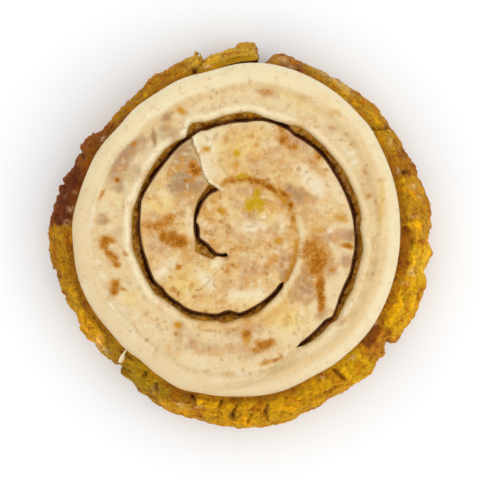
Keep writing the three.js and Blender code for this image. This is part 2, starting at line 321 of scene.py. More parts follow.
# The dough's top with its edges sunk towards the seams on both sides
def crownHeight(angle, radius, innerSeam, outerSeam, innerDrop, outerDrop):
    nearInner = 1 - smooth(radius - innerSeam, 0, dough["edgeReach"])
    nearOuter = 1 - smooth(outerSeam - radius, 0, dough["edgeReach"])
    drop = np.maximum(innerDrop * nearInner, outerDrop * nearOuter)
    return doughHeight(angle, radius) - awayFromDisc(radius) * drop


def stations(*stretches):
    turns = [np.linspace(start, end, count, endpoint=False) for start, end, count in stretches]
    return np.concatenate(turns + [[stretches[-1][1]]])


# A row of points at one place on the spiral; each also carries how rough and how deep it is
def placeRow(turn, radii, levels, rough=0.0, deep=0.0):
    angle = angleAt(turn)
    columns = [spiral["x"] + radii * np.cos(angle), spiral["y"] + radii * np.sin(angle), levels, rough, deep]
    return np.stack([np.broadcast_to(column, np.shape(radii)) for column in columns], axis=1)


def polar(points):
    dx, dy = points[:, 0] - spiral["x"], points[:, 1] - spiral["y"]
    return np.arctan2(dy, dx), np.hypot(dx, dy)


# The place along the innermost seam, in turns, and how far outside that seam each point lies
def beyondSeam(points):
    angle, radius = polar(points)
    turn = (math.radians(spiral["firstAngle"]) - angle) / (2 * np.pi) % 1
    return turn, radius - seamRadius(turn)


# Natural unevenness, about -1 to 1, with grains of a size in millimetres
def grain(points, size, octaves=1, shift=0.0):
    away = Vector((shift, 7.3, shift))
    places = points[:, :3].tolist()
    return np.array([noise.fractal(Vector(place) / size + away, 0.9, 2.1, octaves) for place in places])


# Lumps like torn crumb, 0 in the creases and about 1 in the lumps' middles
def cobbles(points, size, shift=0.0):
    away = Vector((shift, 3.1, shift))
    high = []
    for place in points[:, :3].tolist():
        at = Vector(place) / size + away
        near = noise.voronoi(at + 0.35 * noise.noise_vector(1.7 * at))[0]
        high.append(near[1] - near[0])
    return np.clip(np.array(high) / 0.45, 0, 1) ** 0.6


# Skin made of rows of points, with faces between neighbouring rows
class Skin:
    def __init__(self):
        self.rows = []
        self.faces = []
        self.count = 0

    def addRow(self, row):
        self.rows.append(row)
        self.count += len(row)
        return np.arange(self.count - len(row), self.count)

    # Two rows of unlike length are joined like the halves of a zip
    def stitch(self, a, b):
        if len(a) == len(b):
            self.faces += np.stack([a[:-1], a[1:], b[1:], b[:-1]], axis=1).tolist()
            return
        a, b = a.tolist(), b.tolist()
        i = j = 0
        while i < len(a) - 1 or j < len(b) - 1:
            if j == len(b) - 1 or (i < len(a) - 1 and (i + 1) * (len(b) - 1) <= (j + 1) * (len(a) - 1)):
                self.faces.append((a[i], a[i + 1], b[j]))
                i += 1
            else:
                self.faces.append((a[i], b[j + 1], b[j]))
                j += 1

    def sheet(self, rows, keep=None):
        indices = [self.addRow(row) for row in rows]
        for i in range(1, len(indices)):
            if keep is None or keep(i):
                self.stitch(indices[i - 1], indices[i])

    # Merges the doubles along shared edges, drops faces shrunk to lines and turns all faces outwards
    def build(self, name):
        points = np.concatenate(self.rows)
        mesh = bpy.data.meshes.new(name)
        mesh.from_pydata(points[:, :3] * mm, [], self.faces)
        for column, field in ((3, "rough"), (4, "deep")):
            layer = mesh.attributes.new(field, "FLOAT", "POINT")
            layer.data.foreach_set("value", points[:, column].astype(np.float32))
        work = bmesh.new()
        work.from_mesh(mesh)
        bmesh.ops.remove_doubles(work, verts=work.verts, dist=0.002 * mm)
        bmesh.ops.dissolve_degenerate(work, edges=work.edges, dist=0.001 * mm)
        bmesh.ops.delete(work, geom=[v for v in work.verts if not v.link_faces], context="VERTS")
        bmesh.ops.recalc_face_normals(work, faces=work.faces)
        for face in work.faces:
            face.smooth = True
        openEdges = sum(len(edge.link_faces) != 2 for edge in work.edges)
        work.to_mesh(mesh)
        work.free()
        triangles = sum(len(face.vertices) - 2 for face in mesh.polygons)
        print(name, triangles, "triangles,", openEdges, "open edges")
        return addPiece(name, mesh)


def readField(piece, name, size=1):
    layer = piece.data.attributes[name].data
    values = np.zeros(len(layer) * size, np.float32)
    layer.foreach_get("value" if size == 1 else "vector", values)
    return values.astype(float) if size == 1 else values.reshape(-1, size).astype(float)


def readPoints(piece):
    return readField(piece, "position", 3) / mm


def readNormals(piece):
    normals = np.zeros(len(piece.data.vertices) * 3, np.float32)
    piece.data.vertices.foreach_get("normal", normals)
    return normals.reshape(-1, 3).astype(float)


def movePoints(piece, points):
    piece.data.vertices.foreach_set("co", (points * mm).astype(np.float32).ravel())
    piece.data.update()


def writeField(piece, name, values):
    layer = piece.data.attributes.new(name, "FLOAT", "POINT")
    layer.data.foreach_set("value", np.asarray(values, np.float32))


def writeTint(piece, colours, name="tint"):
    layer = piece.data.attributes.new(name, "FLOAT_COLOR", "POINT")
    full = np.concatenate([colours, np.ones((len(colours), 1))], axis=1)
    layer.data.foreach_set("color", full.astype(np.float32).ravel())


# Lays a colour over the others where the mask is near 1
def paint(colours, hexColour, mask):
    share = np.clip(mask, 0, 1)[:, None]
    return colours * (1 - share) + np.array(unlit(hexColour)[:3]) * share


# How strongly round marks show at each point: column, row, half length, half width, turned, amount
def markField(points, marks, level):
    bare = np.ones(len(points))
    scale = seenAt(1, 0, level)[0] - seenAt(0, 0, level)[0]
    for column, row, long, wide, turned, amount in marks:
        x, y = seenAt(column, row, level)
        dx, dy = points[:, 0] - x, points[:, 1] - y
        c, s = math.cos(math.radians(turned)), math.sin(math.radians(turned))
        along, aside = (dx * c + dy * s) / (long * scale), (dy * c - dx * s) / (wide * scale)
        bare *= 1 - amount * np.exp(-(along ** 2 + aside ** 2))
    return 1 - bare


# Distance, seen from above, to the nearest of several bent lines of columns and rows
def lineDistance(points, lines, level):
    nearest = np.full(len(points), 1e3)
    for line in lines:
        corners = [seenAt(column, row, level) for column, row in line]
        for (ax, ay), (bx, by) in zip(corners, corners[1:]):
            length = (bx - ax) ** 2 + (by - ay) ** 2
            along = (points[:, 0] - ax) * (bx - ax) + (points[:, 1] - ay) * (by - ay)
            share = np.clip(along / length, 0, 1)
            away = np.hypot(points[:, 0] - ax - share * (bx - ax), points[:, 1] - ay - share * (by - ay))
            nearest = np.minimum(nearest, away)
    return nearest


# Dough: one strip of coarse baked dough, its end on the roll's side

dough = {
    "slot": 0.6,  # width of the seam low down
    "slotOpensOver": 0.05,
    "edgeDrop": 0.5,  # the crown sinks towards the seams
    "edgeReach": 2.5,
    "leanDepth": 1.9,  # an open seam's outer wall leans back above this depth
    "tuck": 2.4,
    "tailRound": 0.009,
    "knob": 0.6, "knobSize": 9.0,  # relief and its grains
    "lump": 0.75, "lumpSize": 5.2,
    "bit": 0.34, "bitSize": 1.9,
    "grit": 0.2, "gritSize": 0.9,
    "crack": 1.6, "crackHalf": 0.36,
    "seed": 1795548515,  # bends the lumps and bits, the same way each run
    "marksAt": 16, "cracksAt": 14,  # the heights at which these lie in the picture
    "wallRelief": 0.7,
}

# cracks in the rim as bent lines of columns and rows
doughCracks = [
    [(204, 60), (198, 66), (194, 74)], [(372, 129), (382, 129), (389, 128)],
    [(333, 369), (338, 374), (344, 378)], [(267, 404), (265, 411), (268, 421)], [(252, 415), (248, 422)],
    [(240, 400), (235, 409), (232, 420)], [(222, 400), (220, 405)], [(191, 393), (195, 401)],
    [(118, 366), (128, 372)], [(143, 376), (148, 370)], [(320, 397), (330, 390), (341, 384)],
    [(56, 270), (60, 277)], [(402, 174), (409, 170)], [(155, 385), (157, 398)], [(413, 238), (411, 262)],
    [(60, 180), (64, 188)], [(78, 150), (84, 158)], [(388, 338), (386, 350)],
]


def slotWall(turn, seamTurn, side, count):
    seam, (_, half) = seamRadius(seamTurn), grooveAt(seamTurn)
    opening = smooth(seamTurn, 0, dough["slotOpensOver"])
    top = doughHeight(angleAt(turn), seam) - dough["edgeDrop"] * opening
    levels = top * (1 - np.linspace(0, 1, count) ** 1.7)
    low = -half + min(dough["slot"], 2 * half)
    leaning = np.clip(1 - (top - levels) / dough["leanDepth"], 0, 1) ** 1.3
    offset = lerp(low, half, leaning) if side > 0 else -half
    rough = dough["wallRelief"] * overOpenSeam(seamTurn) * smooth(top - levels, 0.1, 0.8) * (levels > 0.5)
    return seam + opening * offset, levels, rough, top - levels


# The side from the shoulder's start over the bulge and the tucked heel to the floor
def sideWall(turn, innerRadius, count):
    angle = angleAt(turn)
    outer = sideRadius(angle)
    start = max(shoulderStart(angle), lerp(innerRadius, outer, 0.3))
    below = max(count // 3, 3)
    over = lerp(start, outer, np.sin(np.linspace(0, np.pi / 2, count - below)))
    down = np.linspace(0, 1, below + 1)[1:]
    radii = np.concatenate([over, outer - dough["tuck"] * down ** 2.2])
    levels = np.concatenate([doughHeight(angle, over), heights["bulge"] * (1 - down)])
    rough = smooth(shoulderShare(angle, radii), 0.12, 0.42) * smooth(levels, 0, 1.6)
    return radii + lumpsAt(angle, levels) * shoulderShare(angle, radii) ** 3, levels, rough, 0 * radii


def doughSection(turn):
    exposed = smooth(turn, tail["ends"] - 1, tail["ends"] - 1 + tail["mouth"])
    rounding = np.clip((turn - tail["ends"]) / dough["tailRound"] + 1, 0, 1)
    outerRows = 64 if exposed > 0 else 18
    inner = slotWall(turn, max(turn, 0.0), 1, outerRows if rounding > 0 else 18)
    if turn <= 0:
        inner = (np.full(len(inner[0]), spiral["firstRadius"]), *inner[1:])
    slot = slotWall(turn, min(turn + 1, tail["ends"]), -1, outerRows)
    outer = [lerp(a, b, exposed) for a, b in zip(slot, sideWall(turn, inner[0][0], outerRows))]
    if rounding > 0:  # the blunt end closes like a fingertip
        middle = [lerp(a, b, 0.5) for a, b in zip(inner, outer)]
        inner = [lerp(m, a, math.sqrt(1 - rounding ** 2)) for m, a in zip(middle, inner)]
        outer = [lerp(m, a, math.sqrt(1 - rounding ** 2)) for m, a in zip(middle, outer)]
    radii = np.linspace(inner[0][0], outer[0][0], 14 if exposed > 0 else 10)
    innerDrop = dough["edgeDrop"] * smooth(turn, 0, dough["slotOpensOver"]) * (1 - rounding)
    outerDrop = dough["edgeDrop"] * smooth(turn + 1, 0, dough["slotOpensOver"]) * (1 - exposed)
    levels = crownHeight(angleAt(turn), radii, radii[0], radii[-1], innerDrop, outerDrop)
    levels[0], levels[-1] = inner[1][0], outer[1][0]
    return {
        "inner": placeRow(turn, *inner),
        "outer": placeRow(turn, *outer),
        "crown": placeRow(turn, radii, levels),
        "floor": placeRow(turn, np.linspace(inner[0][-1], outer[0][-1], 7), 0.0),
    }


# The disc inside the spiral's start
def addCore(skin, turns, heightAt, rings):
    radii = np.linspace(spiral["firstRadius"], 0, rings)
    skin.sheet([placeRow(turn, radii, heightAt(radii)) for turn in turns])


def windDough():
    skin = Skin()
    mouth, finger = tail["ends"] - 1, tail["ends"] - dough["tailRound"]
    turns = stations((-1, 0, 120), (0, 0.5, 90), (0.5, mouth, 330), (mouth, finger, 660),
                     (finger, tail["ends"], 12))
    sections = [doughSection(turn) for turn in turns]
    for part in ("crown", "inner", "outer", "floor"):
        joins = (lambda i: turns[i - 1] >= 0) if part == "inner" else None
        skin.sheet([section[part] for section in sections], joins)
    inside = [turn for turn in turns if turn <= 0]
    addCore(skin, inside, topHeight, 6)
    addCore(skin, inside, lambda radii: radii * 0, 3)
    return skin.build("dough_strip")


# Coarse torn crumb: broad knobs, lumps with creases between them, bits on those, grit, and the cracks
def roughenDough(piece):
    points, normals, rough = readPoints(piece), readNormals(piece), readField(piece, "rough")
    moved = np.flatnonzero(rough > 0.001)
    at = points[moved]
    noise.seed_set(dough["seed"])
    knobs = grain(at, dough["knobSize"], 2)
    lumps = cobbles(at, dough["lumpSize"])
    bits = cobbles(at, dough["bitSize"], 17)
    grit = grain(at, dough["gritSize"], 2, 67)
    cracks = hump(lineDistance(at, doughCracks, dough["cracksAt"]), 0, dough["crackHalf"])
    cracks = cracks * (0.8 + 0.6 * grain(at, 2.2, 1, 5))
    high = dough["knob"] * knobs + dough["lump"] * (lumps - 0.75) + dough["bit"] * (bits - 0.75)
    high = high + dough["grit"] * grit - dough["crack"] * cracks
    away = points.copy()
    away[moved] += normals[moved] * (rough[moved] * high)[:, None]
    away[:, 2] = np.maximum(away[:, 2], 0)
    movePoints(piece, away)
    cavity = np.zeros(len(points))
    cavity[moved] = np.clip(cracks + 0.5 * (1 - lumps) ** 3 + 0.25 * (1 - bits) ** 2 - 0.3 * grit, 0, 1)
    return points, cavity


# stretches of the rim: first and last angle, least and most radius past the icing's rim, colour, amount;
# beside the crust's own patches, the darker bands next to the icing's rim are painted shade under its edge
# and the lighter outer bands partly a painted highlight on the crest
rimStretches = [
    (57, 82, -4, 9, "#b58838", 0.8), (66, 75, -4, 9, "#a26a3a", 0.9), (47, 62, 2.2, 9, "#cdb280", 0.6),
    (37, 50, -4, 9, "#c08c2e", 0.75), (24, 37, -4, 9, "#b48424", 0.7), (17, 26, -4, 9, "#a2671c", 0.8),
    (3, 17, -4, 2.4, "#aa761e", 0.8), (3, 17, 2.4, 9, "#c48f30", 0.8), (-14, 3, -4, 3.2, "#9a6020", 0.9),
    (-4, 3, 3.2, 9, "#c48c34", 0.7), (-14, -4, 3.6, 9, "#ecbb38", 0.9),
    (-33, -14, -4, 2.4, "#b87c18", 0.8), (-33, -14, 2.4, 9, "#e2ac1c", 0.9),
    (-40, -32, -4, 3, "#82492a", 0.95), (-44, -32, 2.8, 9, "#bf8030", 0.8),
    (-51, -42, -4, 9, "#dcaa22", 0.8), (-63, -51, -4, 9, "#cf981a", 0.75),
    (-104, -63, -4, 2.2, "#a46c12", 0.6), (-100, -63, 2.4, 9, "#cc961e", 0.7),
    (-112, -102, -4, 4, "#8f5c16", 0.8), (-118, -98, 4, 9, "#bc8232", 0.5),
    (-131, -112, -4, 9, "#a88617", 0.85), (-140, -130, -4, 9, "#a07a30", 0.8),
    (-176, -140, -4, 2.4, "#98660e", 0.8), (-152, -140, 2.4, 9, "#e0a42a", 0.9),
    (-172, -152, 2.4, 9, "#c39424", 0.8), (177, 198, 1, 9, "#b6821a", 0.8),
    (137, 177, -4, 9, "#8f5724", 1), (156, 176, -4, 9, "#5e2e12", 0.65),
    (122, 138, -4, 9, "#a26f28", 0.8), (104, 122, -4, 9, "#b27c22", 0.85),
    (80, 106, -4, 2.3, "#c09418", 0.8), (80, 106, 2.3, 9, "#d6ae46", 0.85),
]

# small things on the rim: column, row, half length, half width, turned, amount
paleCrumbs = [
    (99, 341, 5, 2.6, 100, 0.95), (105, 350, 4, 2.5, 120, 0.8), (72, 209, 4, 2.6, 40, 0.6),
    (66, 222, 5, 3, 0, 0.65), (397, 171, 3, 2.4, 0, 0.9), (413, 187, 3.5, 2.6, 0, 0.8),
    (389, 130, 2, 1.6, 0, 1), (412, 272, 4, 3.4, 0, 0.6), (404, 283, 4, 1.6, 0, 0.6),
    (104, 139, 3.2, 2.4, 50, 0.7), (283, 60, 4, 1.8, -25, 0.6), (291, 66, 4, 1.6, -30, 0.6),
    (208, 68, 3.4, 2, 15, 0.7), (414, 216, 4, 1.6, 0, 0.6), (418, 197, 2.4, 2, 0, 0.5),
    (374, 322, 3, 2, 30, 0.5), (323, 376, 3, 2, 20, 0.5), (352, 357, 3, 2, 20, 0.6),
    (196, 408, 6, 2, 0, 0.5), (180, 404, 5, 2, -20, 0.5), (155, 390, 3, 4, 0, 0.4),
    (389, 142, 3, 5, 0, 0.45), (77, 193, 2, 1.6, 0, 0.3), (66, 196, 2, 2, 0, 0.35),
]
# holes, notches and cracks on the rim, painted dark as their shade
shadedHoles = [
    (129, 356, 5, 2.6, -40, 0.9), (60, 223, 5, 2.6, 0, 0.9), (59, 276, 2.4, 4, -20, 1),
    (386, 126, 3, 2.4, 0, 0.8), (404, 173, 5, 3, 0, 0.7), (405, 229, 4, 3, 0, 0.8),
    (193, 397, 2.6, 4, 20, 0.9), (232, 417, 2.6, 4, 20, 0.9), (267, 408, 2, 5, 0, 0.8),
    (144, 377, 2.6, 2, 0, 0.7), (194, 71, 2.6, 5, 30, 1), (372, 341, 5, 2.4, -30, 0.7),
    (388, 331, 2.4, 3, 0, 0.6), (50, 254, 1.6, 3, 0, 0.7), (338, 374, 6, 1.8, -45, 0.7),
    (357, 96, 5, 4, 0, 0.35), (318, 394, 6, 1.6, 30, 0.5), (148, 371, 4, 1.6, 20, 0.6),
    (220, 403, 2, 2.4, 0, 0.6), (85, 305, 5, 3, 0, 0.4), (240, 398, 12, 2.6, 4, 0.5),
]


def paintLayers(colours, palette, layers):
    for name, mask in layers:
        colours = paint(colours, palette[name], mask)
    return colours


# Colours as seen: the crust from above, its side, and the walls of the open seam, with painted shade under
# the icing's rim, in the creases and in the holes
crustColours = {
    "ground": "#dca81c", "light": "#efb62a", "shadeUnderIcing": "#855312", "bulge": "#b0681c",
    "lowerWall": "#c8902e", "lowerBrown": "#a4641e", "heel": "#85511c",
    "paleCrumb": "#efc896", "holeShade": "#4f2810", "creaseShade": "#5a320e",
    "seamWall": "#bd8136", "seamLight": "#d8b26c", "seamDark": "#6b4420", "seamDeep": "#8a4a24",
}


def paintDough(piece, points, cavity):
    angle, radius = polar(points)
    degrees = np.degrees(angle) % 360
    past = radius - icingRadius(angle)
    deep = readField(piece, "deep")
    ragged = grain(points, 5.0, 2, 90)
    grainy = grain(points, 1.1, 2, 12)
    colours = np.tile(unlit(crustColours["ground"])[:3], (len(points), 1))
    colours = paint(colours, crustColours["light"], smooth(ragged, 0.0, 0.5) * 0.6)
    # what the picture shows stays near the top: lower down the crust is evenly baked
    fromTop = 0.25 + 0.75 * smooth(points[:, 2] + 1.5 * ragged, 3.0, 9.0)
    outwards = past + 0.7 * grainy
    for first, last, least, most, hexColour, amount in rimStretches:
        middle, half = (first + last) / 2, (last - first) / 2
        off = np.abs((degrees - middle + 180) % 360 - 180) + 1.6 * ragged + 1.0 * grainy
        inside = 1 - smooth(off, half - 0.7, half + 0.7)
        inside = inside * window(outwards, least - 0.4, least + 0.4, most - 0.4, most + 0.4)
        colours = paint(colours, hexColour, inside * amount * fromTop)
    outside = smooth(shoulderShare(angle, radius) + 0.06 * ragged, 0.93, 1.0)
    low = 1 - smooth(points[:, 2] + 2.0 * ragged, 2.0, 9.0)
    lowPatches = (1 - fromTop) * smooth(grain(points, 8.0, 3, 31), -0.1, 0.4)
    pale, dark = [markField(points, marks, dough["marksAt"]) for marks in (paleCrumbs, shadedHoles)]
    wall = smooth(deep, 0.05, 0.5)
    colours = paintLayers(colours, crustColours, (
        # painted shade: the crust is darker just past the icing's rim, which shades it
        ("shadeUnderIcing", 0.45 * (1 - smooth(past + 0.6 * ragged, 0.6, 2.4))),
        ("bulge", 0.3 * outside),
        ("lowerWall", 0.6 * low),
        ("lowerBrown", 0.6 * lowPatches),
        ("heel", 0.7 * (1 - smooth(points[:, 2] + ragged, 0.0, 2.2))),
        ("paleCrumb", fromTop * pale * smooth(grainy, -0.6, 0.1)),
        # painted shade in the rim's holes, notches and cracks
        ("holeShade", fromTop * dark * smooth(grainy, -0.7, 0.0)),
        # painted shade: the crust is darkened in its creases and cracks
        ("creaseShade", 0.8 * cavity),
        ("seamWall", 0.9 * wall),
        ("seamLight", 0.8 * wall * smooth(grainy, 0.0, 0.35) * (1 - smooth(deep, 1.5, 4))),
        ("seamDark", 0.6 * wall * smooth(-grainy, 0.05, 0.4)),
        ("seamDeep", smooth(deep + ragged, 1.8, 4.0)),
    ))
    writeTint(piece, colours)
    upward = smooth(readNormals(piece)[:, 2], 0.25, 0.5)
    writeField(piece, "crumbs", smooth(past, 0.3, 1.0) * upward * smooth(ragged, -0.3, 0.5))


# Enriched yeast dough, baked and torn: dry crumb in flakes of unlike colour, a little light goes in
def makeDoughMaterial():
    baked, tree, shader = newMaterial("bakedDoughTorn")
    colour = addNode(tree, "ShaderNodeAttribute", attribute_name="tint").outputs["Color"]
    where = addNode(tree, "ShaderNodeTexCoord").outputs["Object"]
    crumb = addNode(tree, "ShaderNodeTexNoise", {
        "Vector": where, "Scale": 1 / (0.95 * mm), "Detail": 5.0, "Roughness": 0.7})
    patch = addNode(tree, "ShaderNodeTexNoise", {
        "Vector": where, "Scale": 1 / (4.2 * mm), "Detail": 5.0, "Roughness": 0.65})
    bent = addNode(tree, "ShaderNodeVectorMath", {
        0: crumb.outputs["Color"], 1: (1.3 * mm,) * 3, 2: where}, operation="MULTIPLY_ADD")
    flakes = addNode(tree, "ShaderNodeTexVoronoi", {"Vector": bent.outputs[0], "Scale": 1 / (1.5 * mm)})
    cracks = addNode(tree, "ShaderNodeTexVoronoi", {
        "Vector": bent.outputs[0], "Scale": 1 / (2.3 * mm)}, feature="DISTANCE_TO_EDGE")
    for value, least, most, amount, hexColour in (
        (patch.outputs["Fac"], 0.53, 0.64, 0.6, "#ecdc6a"),
        (patch.outputs["Fac"], 0.47, 0.35, 0.65, "#a46c28"),
        (crumb.outputs["Fac"], 0.56, 0.70, 0.7, "#f0ee96"),
        (crumb.outputs["Fac"], 0.46, 0.32, 0.8, "#8c5622"),
        # painted shade: thin dark lines along the flakes' edges, for the cracks between them in shade
        (cracks.outputs["Distance"], 0.04, 0.01, 0.2, "#643c12"),
    ):
        share = addNode(tree, "ShaderNodeMapRange", {
            "Value": value, "From Min": least, "From Max": most, "To Max": amount},
            interpolation_type="SMOOTHSTEP")
        # each layer leans on the colour under it, so browned dough keeps to browns
        own = addNode(tree, "ShaderNodeVectorMath", {
            0: colour, 1: unlit(hexColour)[:3]}, operation="MULTIPLY")
        lifted = addNode(tree, "ShaderNodeVectorMath", {0: own.outputs[0], "Scale": 2.2}, operation="SCALE")
        colour = addNode(tree, "ShaderNodeMix", {
            0: share.outputs[0], 6: colour, 7: lifted.outputs[0]}, data_type="RGBA").outputs[2]
    each = addNode(tree, "ShaderNodeMapRange", {
        "Value": flakes.outputs["Color"], "To Min": 1.0, "To Max": 1.26})
    flaky = addNode(tree, "ShaderNodeVectorMath", {0: colour, "Scale": each.outputs[0]}, operation="SCALE")
    relief = addNode(tree, "ShaderNodeMath", {
        0: crumb.outputs["Fac"], 1: 1.6, 2: cracks.outputs["Distance"]}, operation="MULTIPLY_ADD")
    bump = addNode(tree, "ShaderNodeBump", {
        "Height": relief.outputs[0], "Strength": 0.8, "Distance": 0.3 * mm})
    tree.links.new(flaky.outputs[0], shader.inputs["Base Color"])
    tree.links.new(bump.outputs["Normal"], shader.inputs["Normal"])
    shader.inputs["Roughness"].default_value = 0.6
    shader.inputs["Specular IOR Level"].default_value = 0.05
    shader.inputs["Subsurface Weight"].default_value = 0.05
    shader.inputs["Subsurface Radius"].default_value = (1.0, 0.5, 0.2)
    shader.inputs["Subsurface Scale"].default_value = 0.8 * mm
    return baked


doughPiece = windDough()
smoothPoints, doughCavity = roughenDough(doughPiece)
paintDough(doughPiece, smoothPoints, doughCavity)
bakedDough = makeDoughMaterial()
doughPiece.data.materials.append(bakedDough)
print("dough strip wound, roughened and painted")

# Cinnamon filling: a ribbon swept along the seam by Geometry Nodes

filling = {
    "half": 0.4, "inset": 0.3,  # half its width, and how far its middle lies from the seam's inner wall
    "from": 0.05, "to": 2.5, "stations": 900,
    "base": 0.3, "deep": 1.0, "shallow": 2.0,  # its foot, and its crest's depth where open and closed
    "ripple": 0.8, "rippleSize": 3.0,
}


def seamPath():
    turns = np.linspace(filling["from"], filling["to"], filling["stations"])
    angle = angleAt(turns)
    radius = seamRadius(turns) - grooveAt(turns)[1] + filling["inset"]
    crest = doughHeight(angle, radius) - lerp(filling["shallow"], filling["deep"], overOpenSeam(turns))
    across, up = spiral["x"] + radius * np.cos(angle), spiral["y"] + radius * np.sin(angle)
    points = np.stack([across, up, 0 * turns], axis=1)
    mesh = bpy.data.meshes.new("cinnamon_filling")
    mesh.from_pydata(points * mm, [(i, i + 1) for i in range(len(points) - 1)], [])
    layer = mesh.attributes.new("crest", "FLOAT", "POINT")
    layer.data.foreach_set("value", (crest * mm).astype(np.float32))
    return mesh


# Moist cinnamon paste: dark, uneven, with the gleam of melted sugar
def makePasteMaterial():
    paste, tree, shader = newMaterial("cinnamonPasteMoist")
    where = addNode(tree, "ShaderNodeTexCoord").outputs["Object"]
    grounds = addNode(tree, "ShaderNodeTexNoise", {"Vector": where, "Scale": 1 / (0.8 * mm), "Detail": 4.0})
    ramp = addNode(tree, "ShaderNodeValToRGB", {"Fac": grounds.outputs["Fac"]})
    for stop, position, hexColour in zip(ramp.color_ramp.elements, (0.35, 0.7), ("#7c3f20", "#b0683a")):
        stop.position, stop.color = position, unlit(hexColour)
    bump = addNode(tree, "ShaderNodeBump", {
        "Height": grounds.outputs["Fac"], "Strength": 0.5, "Distance": 0.2 * mm})
    tree.links.new(ramp.outputs["Color"], shader.inputs["Base Color"])
    tree.links.new(bump.outputs["Normal"], shader.inputs["Normal"])
    shader.inputs["Roughness"].default_value = 0.45
    return paste


def addInput(tree, name, kind, value):
    socket = tree.interface.new_socket(name=name, in_out="INPUT", socket_type=kind)
    if value is not None:
        socket.default_value = value
    return socket.identifier


# Runs a Geometry Nodes tree on a piece once and gives back the plain mesh it makes
def bakeNodes(name, mesh, tree, values):
    carrier = addPiece(name + "_carrier", mesh)
    modifier = carrier.modifiers.new("nodes", "NODES")
    modifier.node_group = tree
    for identifier, value in values.items():
        modifier[identifier] = value
    evaluated = carrier.evaluated_get(bpy.context.evaluated_depsgraph_get())
    result = bpy.data.meshes.new_from_object(evaluated)
    carrier.modifiers.remove(modifier)
    bpy.data.objects.remove(carrier)
    result.name = name
    print(name, len(result.polygons), "faces")
    return addPiece(name, result)


def makeFillingTree(paste):
    tree = bpy.data.node_groups.new("sweptFilling", "GeometryNodeTree")
    addInput(tree, "Geometry", "NodeSocketGeometry", None)
    names = ("Half width", "Base", "Ripple", "Ripple size")
    ids = {name: addInput(tree, name, "NodeSocketFloat", 0.0) for name in names}
    tree.interface.new_socket(name="Geometry", in_out="OUTPUT", socket_type="NodeSocketGeometry")
    given = addNode(tree, "NodeGroupInput")
    path = addNode(tree, "GeometryNodeMeshToCurve", {"Mesh": given.outputs["Geometry"]})
    upright = addNode(tree, "GeometryNodeSetCurveNormal", {"Curve": path.outputs["Curve"]}, mode="Z_UP")
    # the section is a unit ring: sideways it becomes the width, upwards the share of the height
    ring = addNode(tree, "GeometryNodeCurvePrimitiveCircle", {"Resolution": 12, "Radius": 1.0})
    crest = addNode(tree, "GeometryNodeInputNamedAttribute", {"Name": "crest"}, data_type="FLOAT")
    kept = addNode(tree, "GeometryNodeCaptureAttribute", {"Geometry": ring.outputs["Curve"]})
    kept.capture_items.new("VECTOR", "Section")
    spot = addNode(tree, "GeometryNodeInputPosition")
    tree.links.new(spot.outputs[0], kept.inputs[1])
    thin = addNode(tree, "GeometryNodeTransform", {"Geometry": kept.outputs["Geometry"]})
    across = addNode(tree, "ShaderNodeCombineXYZ", {
        "X": given.outputs["Half width"], "Y": given.outputs["Half width"], "Z": 1.0})
    tree.links.new(across.outputs[0], thin.inputs["Scale"])
    swept = addNode(tree, "GeometryNodeCurveToMesh", {
        "Curve": upright.outputs["Curve"], "Profile Curve": thin.outputs["Geometry"], "Fill Caps": True})
    section = addNode(tree, "ShaderNodeSeparateXYZ", {"Vector": kept.outputs[1]})
    here = addNode(tree, "GeometryNodeInputPosition")
    ripple = addNode(tree, "ShaderNodeTexNoise", {"Vector": here.outputs[0]})
    size = addNode(tree, "ShaderNodeMath", {0: 1.0, 1: given.outputs["Ripple size"]}, operation="DIVIDE")
    tree.links.new(size.outputs[0], ripple.inputs["Scale"])
    share = addNode(tree, "ShaderNodeMapRange", {
        "Value": section.outputs["Y"], "From Min": -1.0, "From Max": 1.0})
    top = addNode(tree, "ShaderNodeMath", {
        0: ripple.outputs["Fac"], 1: given.outputs["Ripple"], 2: crest.outputs["Attribute"]},
        operation="MULTIPLY_ADD")
    level = addNode(tree, "ShaderNodeMapRange", {
        "Value": share.outputs[0], "To Min": given.outputs["Base"], "To Max": top.outputs[0]})
    place = addNode(tree, "ShaderNodeSeparateXYZ", {"Vector": here.outputs[0]})
    stand = addNode(tree, "ShaderNodeCombineXYZ", {
        "X": place.outputs["X"], "Y": place.outputs["Y"], "Z": level.outputs[0]})
    stood = addNode(tree, "GeometryNodeSetPosition", {
        "Geometry": swept.outputs["Mesh"], "Position": stand.outputs[0]})
    real = addNode(tree, "GeometryNodeRealizeInstances", {"Geometry": stood.outputs["Geometry"]})
    finish = addNode(tree, "GeometryNodeSetMaterial", {
        "Geometry": real.outputs["Geometry"], "Material": paste})
    addNode(tree, "NodeGroupOutput", {"Geometry": finish.outputs["Geometry"]})
    return tree, ids


cinnamonPaste = makePasteMaterial()
fillingTree, fillingIds = makeFillingTree(cinnamonPaste)
fillingPiece = bakeNodes("cinnamon_filling_ribbon", seamPath(), fillingTree, {
    fillingIds["Half width"]: filling["half"] * mm,
    fillingIds["Base"]: filling["base"] * mm,
    fillingIds["Ripple"]: filling["ripple"] * mm,
    fillingIds["Ripple size"]: filling["rippleSize"] * mm,
})
print("filling swept along the seam")

# Icing: a poured sheet with a thick bead round its rim and a lip along the ring's inner edge

